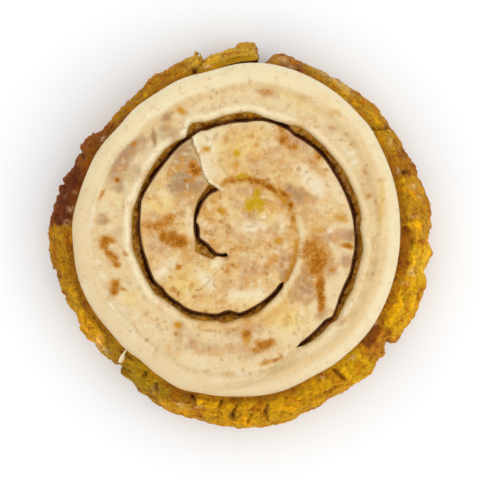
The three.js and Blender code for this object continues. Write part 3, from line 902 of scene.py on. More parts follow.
icing = {
    "perTurn": 620, "rows": 40, "footRows": 9, "rings": 11,
    "marksAt": 28, "flakeAt": 27, "dripAt": 20,  # the heights at which these lie in the picture
    "sheet": 0.95,
    "bead": 2.5, "beadFull": 4.6, "beadEnds": 6.3, "rimRound": 2.3,
    "lip": 2.0, "lipFull": 1.5, "lipEnds": 3.4, "lipRound": 1.3, "edgeRound": 0.4,
    "edge": 0.3,
    "furrow": 0.6, "furrowReach": 0.75,
    "crest": 0.4, "crestAt": 4.9, "crestWide": 0.55,
    "swell": 0.4, "swellSize": 8.0,
    "dimple": 0.28, "dimpleSize": 2.4,
    "wrinkle": 0.16, "wrinkleSize": 4.5,
    "ridge": 0.36, "hairCrack": 0.12,
    "glazeStep": 0.45,  # the drop from thick glaze to thin
    "flake": 0.75, "flakeLip": 0.2,
    "lift": 0.05,  # clears the dough
    "drip": [(0, 131, 345, 0), (0.05, 130, 346, 0.6), (0.4, 126, 350.5, 0.5),
             (0.7, 123, 355, 0.7), (0.9, 122, 360, 0.95), (1, 122, 363, 0)],
}

flakeEdge = [(191, 137), (195, 147), (199, 155), (201, 165), (205, 178), (211, 184), (219, 189)]
hairCracks = [
    [(226, 257), (228, 263), (233, 265)], [(228, 264), (222, 266)],
    [(221, 268), (214, 275), (207, 283), (200, 289), (198, 301)], [(219, 162), (224, 170), (229, 178)],
    [(217, 131), (214, 139), (211, 146)], [(256, 90), (262, 92), (266, 96)], [(276, 92), (280, 101)],
    [(296, 314), (306, 320), (317, 327)], [(295, 316), (299, 331)], [(189, 98), (195, 103), (192, 106)],
    [(204, 134), (208, 142)], [(346, 228), (330, 234), (318, 238)],
]

# icing ridges as bent lines of columns and rows, raised in the sheet and with a painted highlight laid along
# them
ridges = [
    [(98, 262), (103, 282), (112, 305), (127, 323), (142, 344)], [(94, 200), (92, 226)],
    [(140, 124), (149, 116), (156, 111), (168, 103)], [(340, 322), (352, 303), (362, 282), (370, 262)],
    [(128, 196), (127, 224), (129, 250)], [(206, 132), (212, 146), (216, 158)],
]

# marks in the icing: column, row, half length, half width, turned, amount
browned = [
    (107, 240, 10, 4.6, -8, 0.85), (103, 245, 4, 4, 0, 0.75), (111, 256, 11, 4.2, -50, 0.92),
    (117, 265, 4, 3, 0, 0.9), (115, 284, 5.5, 5, 0, 0.88), (114, 292, 4.5, 4, 0, 0.9),
    (123, 289, 4.5, 1.8, -30, 0.7), (125, 254, 4, 4, 0, 0.45), (134, 144, 5, 2.6, 35, 0.75),
    (117, 180, 3, 3, 0, 0.85), (102, 194, 5.5, 2, 62, 0.7), (265, 92, 10, 4, -8, 0.45),
    (262, 345, 8, 5, -10, 0.88), (272, 342, 7, 5, 10, 0.65), (246, 334, 5, 6, -60, 0.75),
    (256, 351, 5, 2.4, 0, 0.95), (268, 362, 12, 3, 14, 0.62), (280, 357, 5, 2.6, 25, 0.45),
    (176, 334, 2.4, 1.6, -20, 0.8), (168, 219, 6, 5.5, 20, 0.9), (159, 227, 6, 5, 50, 1),
    (172, 239, 9, 8, 0, 0.85), (181, 242, 8, 7, 0, 0.92), (163, 236, 5, 5, 0, 0.92),
    (146, 226, 8, 4.5, 0, 0.5), (179, 267, 4, 3.6, 0, 0.8), (176, 292, 10, 4, -25, 0.45),
    (193, 167, 5, 7, 0, 1), (196, 172, 6, 6, 0, 0.9), (186, 181, 3, 2, 0, 0.85),
    (192, 181, 3, 2, 0, 0.85), (184, 188, 2.2, 1.8, 0, 0.6), (283, 139, 7, 6, 0, 0.8),
    (294, 147, 8, 4, -10, 0.75), (281, 128, 6, 3.4, -50, 0.75), (318, 156, 7, 5, -30, 0.65),
    (313, 163, 4, 4, 0, 0.45), (299, 169, 2.6, 2.4, 0, 0.35), (314, 252, 15, 13, 0, 0.72),
    (310, 243, 8, 6, 0, 0.35), (319, 262, 9, 9, 0, 0.85), (313, 270, 7, 5, 0, 0.8),
    (320, 282, 5, 9, 0, 0.85), (321, 296, 4.2, 12, 6, 1), (321, 307, 3.4, 5, 0, 0.85),
    (233, 250, 5, 8, 0, 0.3), (246, 249, 14, 4, -6, 0.3), (221, 221, 3.2, 2.4, 0, 0.85),
    (233, 265, 2.4, 1.6, 0, 0.8), (227, 271, 3.4, 2.4, 0, 0.55), (267, 273, 4, 2.2, 0, 0.5),
    (282, 267, 3, 3, 0, 0.3), (284, 194, 7, 3, -30, 1), (291, 205, 4, 4, 0, 1),
    (369, 196, 4.5, 4, 0, 0.45), (364, 170, 3, 4, 0, 0.3), (376, 203, 2, 3, 0, 0.35),
    (332, 127, 2.6, 2.4, 0, 0.4), (292, 222, 2, 8, -6, 0.6), (326, 170, 3, 2, 0, 0.7),
    (350, 263, 4, 3, 0, 0.2), (332, 270, 4, 2.2, 20, 0.9), (348, 246, 7, 3, -15, 0.8),
    (231, 229, 4, 5, 0, 0.25),
]
ochre = [
    (180, 110, 5, 4, 0, 0.9), (184, 112, 4, 3.4, 0, 0.8), (123, 205, 2.2, 9, 0, 0.55),
    (178, 325, 5.5, 4.4, 0, 1), (247, 339, 5, 8, 20, 0.9), (266, 363, 8, 2.6, 12, 0.5),
    (171, 218, 5, 4.4, 0, 0.8), (206, 149, 5.5, 3.4, -5, 0.95), (182, 158, 6, 4, 0, 0.7),
    (178, 168, 9, 4, 0, 0.35), (236, 166, 4, 12, 4, 0.6), (242, 141, 5, 3, 0, 0.4),
    (257, 145, 4, 3, 0, 0.8), (250, 136, 4, 2.6, 0, 0.75), (283, 130, 7, 3, -45, 0.45),
    (341, 218, 9, 6, -15, 0.9), (336, 201, 7, 6, 0, 0.35), (320, 230, 5, 4, 0, 0.75),
    (348, 246, 6, 2.4, -15, 0.75), (222, 211, 6.5, 4.6, -35, 0.95), (214, 201, 4, 5, 20, 0.85),
    (279, 241, 5, 4, 10, 1), (247, 178, 6, 3.4, -20, 0.85), (270, 188, 12, 3, -20, 0.95),
    (308, 98, 12, 3.6, -28, 0.5), (335, 113, 12, 4, -35, 0.5), (288, 317, 6, 4, 0, 0.2),
    (285, 324, 7, 5, 0, 0.4), (170, 277, 2.4, 2.4, 0, 0.7), (147, 340, 1.8, 1.8, 0, 0.7),
    (243, 370, 1.8, 1.6, 0, 0.6), (211, 295, 3, 3, 0, 0.35), (280, 168, 6, 4, 0, 0.3),
    (156, 355, 8, 5, 0, 0.25), (381, 205, 3.4, 30, -4, 0.45), (260, 172, 8, 5, 0, 0.25),
    (117, 180, 3, 2, 0, 0.4), (107, 241, 9, 3, -10, 0.35), (168, 227, 7, 4, 30, 0.4),
    (316, 256, 8, 5, 0, 0.4), (186, 244, 5, 4, 0, 0.4), (114, 286, 3.4, 4, 0, 0.5),
    (292, 222, 2, 8, -6, 0.5), (167, 128, 5, 6, 20, 0.35),
]
lemon = [
    (253, 203, 9, 8, 0, 1), (257, 193, 3.6, 6, 0, 1), (249, 207, 6, 5, 0, 0.8), (261, 206, 6, 6, 0, 0.7),
    (237, 153, 4.6, 5, 0, 0.95), (240, 176, 6, 4, 0, 0.9), (247, 178, 4, 2.4, 0, 0.5),
    (164, 204, 6, 4, 0, 0.3), (178, 267, 2.4, 2, 0, 0.5), (170, 277, 2.4, 2, 0, 0.5),
    (278, 242, 3, 2, 0, 0.4), (211, 295, 3, 3, 0, 0.35),
]
buttery = [
    (290, 320, 17, 11, 0, 1), (158, 204, 15, 10, 20, 0.8), (186, 283, 15, 10, -20, 0.7),
    (130, 298, 10, 7, 0, 0.6), (244, 302, 22, 6, 0, 0.5), (112, 200, 9, 9, 0, 0.4),
    (381, 205, 3.4, 30, -4, 0.7), (212, 148, 9, 12, 0, 0.5), (300, 103, 26, 4, -30, 0.5),
    (206, 262, 14, 10, 0, 0.5), (330, 104, 16, 3, -40, 0.4), (253, 205, 14, 12, 0, 0.6),
    (238, 150, 24, 13, -5, 0.65), (240, 178, 10, 6, 0, 0.5), (268, 213, 9, 7, 0, 0.7),
    (178, 294, 18, 8, -25, 0.6),
]
milky = [
    (316, 187, 20, 11, -25, 0.85), (322, 207, 10, 8, 0, 0.5), (303, 170, 12, 8, -30, 0.6),
    (163, 272, 17, 9, 30, 0.75), (206, 279, 15, 9, -40, 0.85), (246, 296, 28, 9, 0, 0.85),
    (255, 229, 17, 10, -10, 0.9), (190, 222, 7, 16, 8, 0.7), (163, 196, 15, 8, 10, 0.6),
    (268, 143, 9, 13, -20, 0.45), (284, 156, 10, 8, 0, 0.35), (302, 280, 5, 15, 10, 0.6),
    (275, 213, 5, 10, 0, 0.4), (236, 212, 8, 7, 0, 0.4), (340, 300, 12, 5, 50, 0.4),
    (230, 133, 10, 6, 0, 0.3), (120, 310, 16, 8, -50, 0.5), (145, 325, 18, 8, -40, 0.5),
    (140, 205, 5, 14, 10, 0.4), (290, 330, 14, 7, -20, 0.4), (330, 335, 16, 5, 40, 0.5),
    (160, 115, 12, 6, 40, 0.3), (345, 150, 12, 6, -50, 0.4), (209, 152, 10, 16, -14, 0.9),
    (214, 174, 12, 8, 0, 0.7), (222, 202, 9, 8, 0, 0.5), (282, 226, 5, 12, 0, 0.5),
    (166, 262, 10, 8, 0, 0.6), (228, 248, 12, 6, 0, 0.4),
]
pinkish = [
    (120, 165, 24, 11, 60, 0.85), (142, 141, 9, 9, 0, 0.6), (128, 151, 10, 7, 40, 0.5),
    (113, 232, 13, 5, 10, 0.4), (100, 222, 10, 4, 0, 0.3), (108, 262, 9, 9, 0, 0.4),
    (116, 276, 12, 6, -10, 0.25), (113, 290, 11, 9, 0, 0.4), (366, 186, 5, 22, 4, 0.45),
    (360, 291, 7, 24, -32, 0.25), (340, 324, 14, 5, 55, 0.4), (240, 350, 26, 9, 0, 0.5),
    (262, 332, 22, 8, 0, 0.2), (262, 372, 26, 4, 12, 0.25), (155, 240, 12, 12, 0, 0.45),
    (160, 252, 8, 8, 0, 0.4), (150, 215, 9, 5, 0, 0.25), (300, 142, 18, 7, -25, 0.7),
    (268, 92, 15, 7, -8, 0.4), (245, 98, 30, 5, 0, 0.3), (328, 125, 16, 7, -35, 0.15),
    (345, 148, 8, 6, 0, 0.3), (243, 189, 10, 5, -10, 0.4), (284, 262, 7, 14, 0, 0.45),
    (250, 270, 16, 14, 0, 0.3), (346, 258, 8, 9, 0, 0.6), (338, 236, 14, 5, 10, 0.7),
    (330, 268, 6, 8, 0, 0.8), (308, 290, 12, 8, 0, 0.35), (262, 215, 26, 22, 0, 0.15),
    (225, 235, 14, 10, 0, 0.3), (265, 160, 24, 10, 0, 0.2), (310, 165, 12, 12, 0, 0.25),
    (180, 330, 8, 8, 0, 0.3),
]
# grey see-through film of thin glaze, and in some valleys beside the seam and the flake, painted shade
greyFilmAndShade = [
    (166, 117, 8, 5.5, 35, 0.75), (163, 128, 7, 5, 30, 0.4), (154, 138, 2.4, 8, 8, 0.9),
    (102, 216, 6, 5, -20, 0.6), (104, 222, 8, 4, 0, 0.4), (188, 178, 13, 11, 0, 0.6),
    (176, 186, 16, 9, 0, 0.35), (200, 196, 6, 10, 20, 0.35), (140, 170, 8, 14, -30, 0.3),
    (192, 345, 30, 9, 0, 0.4), (150, 320, 20, 10, -40, 0.2), (308, 280, 10, 9, 0, 0.9),
    (298, 296, 8, 8, 0, 0.35), (352, 236, 7, 7, 0, 0.85), (345, 262, 7, 8, 0, 0.35),
    (320, 315, 10, 5, 40, 0.6), (214, 136, 4, 8, -15, 0.6), (182, 150, 8, 8, 0, 0.3),
    (285, 275, 5, 8, 0, 0.6), (340, 326, 10, 3, 50, 0.2), (289, 190, 6, 7, 0, 0.9),
    (298, 197, 6, 8, -25, 0.8), (232, 338, 14, 8, 0, 0.25), (262, 196, 14, 4, -25, 0.2),
    (120, 190, 8, 6, 0, 0.4),
]
# white flakes of thick glaze, some of them painted glints of light
creamAndGlints = [
    (109, 226, 5, 2.6, 20, 0.8), (352, 153, 5, 2.2, 20, 0.9), (354, 162, 5, 2.4, 35, 0.85),
    (331, 231, 5, 3.8, 30, 1), (264, 217, 3, 2, 20, 1), (217, 263, 7, 5, 10, 0.8),
    (285, 247, 3, 2.4, 40, 0.5), (276, 254, 5, 2, 60, 0.6), (317, 183, 4, 2.4, 30, 0.7),
    (209, 147, 16, 13, 60, 0.35), (201, 137, 9, 5, 40, 0.4), (238, 84, 2, 4, -20, 0.5),
    (238, 374, 7, 4, -20, 0.5), (285, 352, 4, 1.8, 30, 0.3), (283, 357, 3, 1.6, -40, 0.6),
    (301, 316, 2, 12, 0, 0.4), (155, 285, 7, 5, 0, 0.4), (112, 203, 14, 7, 20, 0.35),
    (204, 222, 5, 9, 10, 0.4), (330, 243, 3, 8, 30, 0.7), (185, 130, 9, 6, 40, 0.6),
    (266, 262, 4, 5, -40, 0.5), (198, 303, 2, 8, 0, 0.4), (218, 305, 10, 4, 0, 0.3),
    (151, 156, 2.4, 12, -35, 0.5),
]
specks = [
    (213, 90, 1.4), (217, 93, 1.2), (146, 314, 1.6), (158, 326, 1.4), (161, 330, 1.2), (156, 350, 1.4),
    (178, 349, 1.4), (198, 335, 1.6), (215, 331, 1.4), (220, 332, 1.2), (231, 345, 1.4), (233, 348, 1.2),
    (209, 349, 1.2), (194, 339, 1.2), (292, 302, 1.7), (245, 305, 1.5), (169, 186, 2.2), (171, 191, 1.4),
    (187, 181, 2), (184, 188, 1.8), (327, 185, 1.4), (306, 172, 1.5), (309, 179, 1.3), (299, 168, 1.8),
    (331, 209, 1.2), (326, 213, 1.2), (211, 234, 1.6), (214, 236, 1.4), (243, 370, 1.4), (131, 331, 1.2),
    (127, 306, 1), (147, 340, 1.8), (176, 334, 2), (283, 276, 1.3), (282, 266, 1.4), (341, 140, 1.4),
    (346, 134, 1.3), (330, 128, 1.3), (335, 129, 1.2), (257, 174, 1.2), (268, 180, 1.6), (252, 281, 1.2),
]


def icingMarks(points, marks):
    return markField(points, marks, icing["marksAt"])


def ridgeField(points):
    flat = points * ((1, 1, 0) + (0,) * (points.shape[1] - 3))
    wavering = lineDistance(flat, ridges, icing["marksAt"]) + 0.9 * grain(flat, 4.0, 3, 61)
    return hump(wavering, 0, 0.5) * smooth(grain(flat, 3.0, 2, 4), -0.35, 0.25)


# How thick the sheet is: its bead, lip and crest, and the swellings, dimples and ridges between them
def swellAndDip(points, toRim, toLip, lipShare):
    angle, _ = polar(points)
    bead = (icing["bead"] - icing["sheet"]) * (1 - smooth(toRim, icing["beadFull"], icing["beadEnds"]))
    lip = (icing["lip"] - icing["sheet"]) * (1 - smooth(toLip, icing["lipFull"], icing["lipEnds"])) * lipShare
    swell = grain(points, icing["swellSize"], 2, 3)
    crestShare = smooth(grain(points, 14, 1, 9) + 0.5 * np.cos(angle - math.radians(200)), -0.1, 0.6)
    crest = icing["crest"] * crestShare * hump(toRim, icing["crestAt"] + 0.5 * swell, icing["crestWide"])
    thin = 1 - np.clip((bead + lip) / 1.2, 0, 1)
    dimple = icing["dimple"] * grain(points, icing["dimpleSize"], 4, 21)
    creased = np.clip(np.abs(grain(points, icing["wrinkleSize"], 3, 33)) * 3.5, 0, 1)
    fine = (dimple + icing["wrinkle"] * (1 - creased)) * (0.12 + 0.88 * thin)
    broad = icing["swell"] * swell * (0.4 + 0.6 * thin) + icing["ridge"] * ridgeField(points)
    return icing["sheet"] + bead + lip + crest + broad + fine


def icingSeam(turn):
    merging = smooth(turn, openSeam["stretches"][-1][1], icingEnds)
    return lerp(seamRadius(turn), icingRadius(angleAt(turn)), merging)


# How far a place lies beside the flake's ragged edge, left of which the sheet has broken and sunk
def besideFlake(points):
    corners = np.array([seenAt(column, row, icing["flakeAt"]) for column, row in flakeEdge])
    along = np.interp(points[:, 1], corners[::-1, 1], corners[::-1, 0]) + 0.5 * grain(points, 1.6, 2, 71)
    low, high = corners[-1, 1], corners[0, 1]
    return points[:, 0] - along, window(points[:, 1], low - 1, low, high + 2, high + 4)


def flakeStep(points):
    right, inReach = besideFlake(points)
    sunkAndShaded = (1 - smooth(right, -0.2, 0.2)) * (1 - smooth(-right, 4, 13))
    return inReach * (icing["flakeLip"] * hump(right, 0.45, 0.4) - icing["flake"] * sunkAndShaded)


# A drip of icing that has run from the rim over the crust
def addDrip(skin):
    around = np.linspace(0, 2 * np.pi, 13)
    shares, *measures = np.array(icing["drip"]).T
    rings = []
    for step in np.linspace(0, 1, 26):
        column, row, thick = [np.interp(step, shares, values) for values in measures]
        x, y = seenAt(column, row, icing["dripAt"])
        dx, dy = x - spiral["x"], y - spiral["y"]
        level = float(doughHeight(math.atan2(dy, dx), np.array(math.hypot(dx, dy)))) + 0.4
        out, up = thick * np.cos(around), thick * np.sin(around)
        rings.append(np.stack([x + out, y + 0.6 * out, level + up, 0 * up + 1, 0 * up + 1], axis=1))
    skin.sheet(rings)


def hairCrackField(points):
    wavering = lineDistance(points, hairCracks, icing["marksAt"]) + 0.3 * grain(points, 1.5, 2, 13)
    return hump(wavering, 0, 0.25) * smooth(grain(points, 4, 1, 2), -0.5, 0.1)


# Milky places, where the glaze has pooled and hides what is under it
def milkField(points):
    return smooth(icingMarks(points, milky) + 0.22 * grain(points, 3.5, 4, 52), 0.05, 0.95)


# How thick the glaze lies: near 1 it hides the dough, near 0 it is a clear film
def glazeField(points, toRim):
    flat = points * (1, 1, 0, 0, 0)
    broad, medium = grain(flat, 6.5, 3, 44), grain(flat, 2.3, 2, 15)
    inner = smooth(toRim, 15, 18)
    lies = lerp(1.0, lerp(0.86, 0.6, inner), smooth(toRim, 5, 6.5))
    uneven = (lerp(0.2, 0.42, inner) * broad + lerp(0.12, 0.25, inner) * medium) * smooth(toRim, 5.5, 7.5)
    thick = lies + uneven + 0.45 * milkField(flat) + 0.4 * ridgeField(flat)
    for marks, amount in (
        (creamAndGlints, 0.7), (pinkish, -0.75), (greyFilmAndShade, -0.9), (browned, -0.35), (buttery, 0.45),
    ):
        thick = thick + amount * icingMarks(flat, marks)
    turn, beyond = beyondSeam(flat)
    thick = thick + 0.5 * hump(beyond, 1.3, 1.0) * window(turn, 0.68, 0.76, 0.9, 0.98)
    right, inReach = besideFlake(flat)
    broken = (right < 0) * (1 - smooth(-right, 3, 12))
    thick = thick + inReach * (0.6 * hump(right, 0.8, 1.2) - 0.4 * broken)
    return np.clip(thick, 0, 1)


# The sheet sinks a little where its glaze turns thin
def glazeStep(glaze):
    return icing["glazeStep"] * (smooth(glaze, 0.32, 0.68) - 0.6)


# The sheet's cross sections along the spiral: the seams and edges on both sides and the dough below
def icingSections():
    perTurn = icing["perTurn"]
    turns = np.arange(-perTurn, round(icingEnds * perTurn) + 1)
    # the first turn takes every other station, but where it is one sheet with the next it takes them all
    meets = ((turns > -0.56 * perTurn) & (turns < -0.12 * perTurn)) | (turns < -0.96 * perTurn)
    turns = turns[(turns >= 0) | (turns % 2 == 0) | meets] / perTurn
    even = np.linspace(0, 1, icing["rows"])
    shares = lerp(even, 0.5 - 0.5 * np.cos(np.pi * even), 0.6)  # closer rows near the edges
    sections = []
    for turn in turns:
        angle = angleAt(turn)
        onRim = turn + 1 > icingEnds
        innerSeam = icingSeam(turn) if turn > 0 else spiral["firstRadius"]
        outerSeam = icingRadius(angle) if onRim else icingSeam(turn + 1)
        innerOpen = overOpenSeam(turn) if turn > 0 else 0.0
        outerOpen = 1.0 if onRim else overOpenSeam(turn + 1)
        inner = innerSeam + innerOpen * grooveAt(turn)[1]
        outer = outerSeam - (0 if onRim else outerOpen * grooveAt(turn + 1)[1])
        radii = lerp(inner, outer, shares)
        drops = [dough["edgeDrop"] * smooth(t, 0, dough["slotOpensOver"]) for t in (turn, turn + 1)]
        foot = crownHeight(angle, radii, innerSeam, outerSeam, drops[0], 0.0 if onRim else drops[1])
        sections.append({
            "turn": turn, "onRim": onRim, "radii": radii, "foot": foot + icing["lift"],
            "innerSeam": innerSeam, "outerSeam": outerSeam, "inner": inner, "outer": outer,
            "innerOpen": innerOpen, "outerOpen": outerOpen,
        })
    return sections


# The middle of the sheet, over the dough's disc, far from the rim and the lip
def pourDisc(skin, turns):
    rings = np.linspace(spiral["firstRadius"], 0, icing["rings"])
    disc = np.concatenate([placeRow(turn, rings, topHeight(rings) + icing["lift"]) for turn in turns])
    far = np.full(len(disc), 30.0)
    disc[:, 4] = glazeField(disc, far)
    relief = glazeStep(disc[:, 4]) - icing["hairCrack"] * hairCrackField(disc)
    disc[:, 2] += swellAndDip(disc, far, far, 0.0) + relief
    skin.sheet(np.split(disc, len(turns)))
    ends = rings[[0, -1]]
    skin.sheet([placeRow(turn, ends, topHeight(ends) + icing["lift"]) for turn in turns])


def pourIcing():
    sections = icingSections()
    table = {}
    for name in sections[0]:
        table[name] = np.array([section[name] for section in sections], float).reshape(len(sections), -1)
    turns, radii, foot = table["turn"][:, 0], table["radii"], table["foot"]
    flat = np.concatenate([placeRow(*values) for values in zip(turns, radii, foot)])
    toRim = icingRadius(angleAt(table["turn"])) - radii
    toLip = radii - table["inner"]
    lipShare = table["innerOpen"] * (table["turn"] > 0.5)
    everyShare = np.broadcast_to(lipShare, radii.shape).ravel()
    thickness = swellAndDip(flat, toRim.ravel(), toLip.ravel(), everyShare) + flakeStep(flat)
    thickness = (thickness - icing["hairCrack"] * hairCrackField(flat)).reshape(radii.shape)
    glaze = glazeField(flat, toRim.ravel()).reshape(radii.shape)
    thickness += glazeStep(glaze) * smooth(toRim, 5, 6.5)
    beyondDisc = awayFromDisc(radii)
    # a furrow where the sheet bridges the closed seam
    for seam, isOpen, hidden in (
        ("innerSeam", "innerOpen", table["turn"] <= 0), ("outerSeam", "outerOpen", table["onRim"] > 0),
    ):
        covered = beyondDisc * np.where(hidden, 0, 1 - table[isOpen])
        thickness -= icing["furrow"] * covered * hump(radii, table[seam], icing["furrowReach"])
    # every free edge is rounded off
    for edge, isOpen, rounds in (
        (toLip, table["innerOpen"], np.where(table["turn"] > 0.5, icing["lipRound"], icing["edgeRound"])),
        (table["outer"] - radii, table["outerOpen"] * (table["onRim"] == 0) * beyondDisc, icing["edgeRound"]),
        (toRim, 1.0, icing["rimRound"]),
    ):
        arch = np.sqrt(1 - (1 - np.clip(edge / rounds, 0, 1)) ** 2)
        thickness = lerp(icing["edge"], thickness, lerp(1, arch, isOpen))
    top = foot + np.maximum(thickness, icing["edge"])
    onLip = lipShare * hump(toLip, 1.3, 1.2)
    tops = [placeRow(*values) for values in zip(turns, radii, top, onLip, glaze)]
    picks = np.unique(np.round(np.linspace(0, icing["rows"] - 1, icing["footRows"])).astype(int))
    feet = [placeRow(turn, r[picks], f[picks]) for turn, r, f in zip(turns, radii, foot)]
    skin = Skin()
    skin.sheet(tops)
    skin.sheet(feet)
    for end, isOpen in ((0, table["innerOpen"][:, 0]), (-1, table["outerOpen"][:, 0])):
        wall = [np.stack([above[end], below[end]]) for above, below in zip(tops, feet)]
        skin.sheet(wall, lambda i: isOpen[i - 1] + isOpen[i] > 1e-4)
    pourDisc(skin, [turn for turn in turns if turn <= 0])
    addDrip(skin)
    return skin.build("icing_sheet")


# Colours as seen: the opaque glaze from the bead inwards, then what shows where it is thin; some are painted
# shade and painted highlights
glazeColours = {
    "bead": "#f5e4b9", "shaded": "#dfc28e", "beadEdgeShade": "#dcb880", "slopeShade": "#e2ba74",
    "trough": "#edd4a0", "inner": "#e9bf75", "pale": "#f6e6bb", "milky": "#f6e8c6",
    "buttery": "#f5d67e", "ridge": "#fdf4d8", "lip": "#fcefc9", "footLine": "#dcb066",
    "creamAndGlints": "#fbf2d4", "ledge": "#fbefc8", "flakeLip": "#fbf2d4",
    "thin": "#dcae70", "thinBrown": "#cb915a", "pinkish": "#d0a488", "greyFilmAndShade": "#ab8559",
    "sunkAndShaded": "#a98a66", "speck": "#8a6a3c", "hairCrack": "#a47c48", "flakeEdge": "#8d6b38",
}


def paintIcing(piece):
    points = readPoints(piece)
    angle, radius = polar(points)
    toRim = icingRadius(angle) - radius
    broad, medium, fine = grain(points, 11, 2, 44), grain(points, 4.2, 4, 8), grain(points, 1.2, 3, 70)
    bead = 1 - smooth(toRim, 4.4, 6.2)
    inner = smooth(toRim, 15.0, 18.0)
    milk = milkField(points)
    turn, beyond = beyondSeam(points)
    offSeam = beyond - 0.2 * fine
    right, inReach = besideFlake(points)
    cream = paintLayers(np.tile(unlit(glazeColours["bead"])[:3], (len(points), 1)), glazeColours, (
        ("shaded", 0.5 * facing(angle, 222, -0.4, 0.8)),
        # painted shade: the bead's outer edge is darker on the side facing 222 degrees
        ("beadEdgeShade", 0.6 * (1 - smooth(toRim, 0.1, 1.4)) * facing(angle, 222, -0.2, 0.7)),
        # painted shade: the bead's inner slope is darker on the side facing -15 degrees
        ("slopeShade", 0.6 * smooth(toRim, 2.2, 4.2) * bead * facing(angle, -15, 0.1, 0.8)),
        ("trough", 0.8 * (1 - bead)),
        ("inner", (1 - bead) * inner * (0.8 + 0.5 * medium)),
        ("pale", 0.5 * smooth(broad + 0.4 * medium, 0.2, 0.8)),
        ("milky", 0.9 * milk),
        ("buttery", 0.85 * icingMarks(points, buttery)),
        # painted highlight along the ridges
        ("ridge", 0.6 * ridgeField(points)),
        # painted highlight: the lip is lighter on the side facing 140 degrees
        ("lip", 0.75 * readField(piece, "rough") * facing(angle, 140, -0.6, 0.5)),
        ("footLine", 0.36 * hump(toRim, 6.3, 0.8) * facing(angle, 80, -0.3, 0.5)),
        # white flakes of thick glaze, with painted glints among them
        ("creamAndGlints", 0.8 * icingMarks(points, creamAndGlints)),
        ("ledge", 0.6 * hump(offSeam, 1.3, 0.8) * window(turn, 0.68, 0.76, 0.9, 0.98)),
        # painted highlight along the flake's raised edge
        ("flakeLip", 0.8 * inReach * hump(right, 0.6, 0.7)),
    ))
    thin = paintLayers(np.tile(unlit(glazeColours["thin"])[:3], (len(points), 1)), glazeColours, (
        ("thinBrown", smooth(medium, 0.0, 0.6)),
        ("pinkish", 1.1 * icingMarks(points, pinkish)),
        # grey film where the glaze is thin, and painted shade in some valleys
        ("greyFilmAndShade", 1.1 * icingMarks(points, greyFilmAndShade)),
        # thin glaze sunk beside the flake, with painted shade below its step
        ("sunkAndShaded", 0.6 * inReach * (right < 0)),
    ))
    shared = (
        ("speck", 0.7 * icingMarks(points, [(c, r, size, size, 0, 0.9) for c, r, size in specks])),
        ("hairCrack", 0.35 * hairCrackField(points)),
        # painted shadow: a dark line under the flake's step
        ("flakeEdge", 0.8 * inReach * hump(right, -0.3, 0.25)),
    )
    writeTint(piece, paintLayers(thin, glazeColours, shared))
    writeTint(piece, paintLayers(cream, glazeColours, shared), "cream")
    spots = [icingMarks(points, marks) for marks in (browned, ochre, lemon)]
    # browned dough shows along the closed seam beside the disc
    onSeam = hump(offSeam, 0, lerp(0.9, 0.65, smooth(turn, 0.6, 0.7))) * window(turn, 0.44, 0.5, 0.86, 0.9)
    brownShare = lerp(0.95, 0.55, smooth(turn, 0.62, 0.7)) * smooth(broad - medium, -0.9, 0.0)
    ochreShare = lerp(1.0, 0.95, smooth(turn, 0.64, 0.74)) * smooth(broad + medium, -0.9, -0.1)
    spots[0] = np.maximum(spots[0], onSeam * brownShare)
    spots[1] = np.maximum(spots[1], onSeam * ochreShare)
    layer = piece.data.attributes.new("spots", "FLOAT_VECTOR", "POINT")
    layer.data.foreach_set("vector", np.stack(spots, axis=1).astype(np.float32).ravel())
    calm = (1 - 0.7 * milk) * (1 - 0.6 * icingMarks(points, greyFilmAndShade))
    mottled = (1 - bead) * (0.4 + 0.6 * inner) * calm * np.clip(0.8 + 0.5 * broad, 0.3, 1)
    writeField(piece, "mottled", mottled + 0.08)


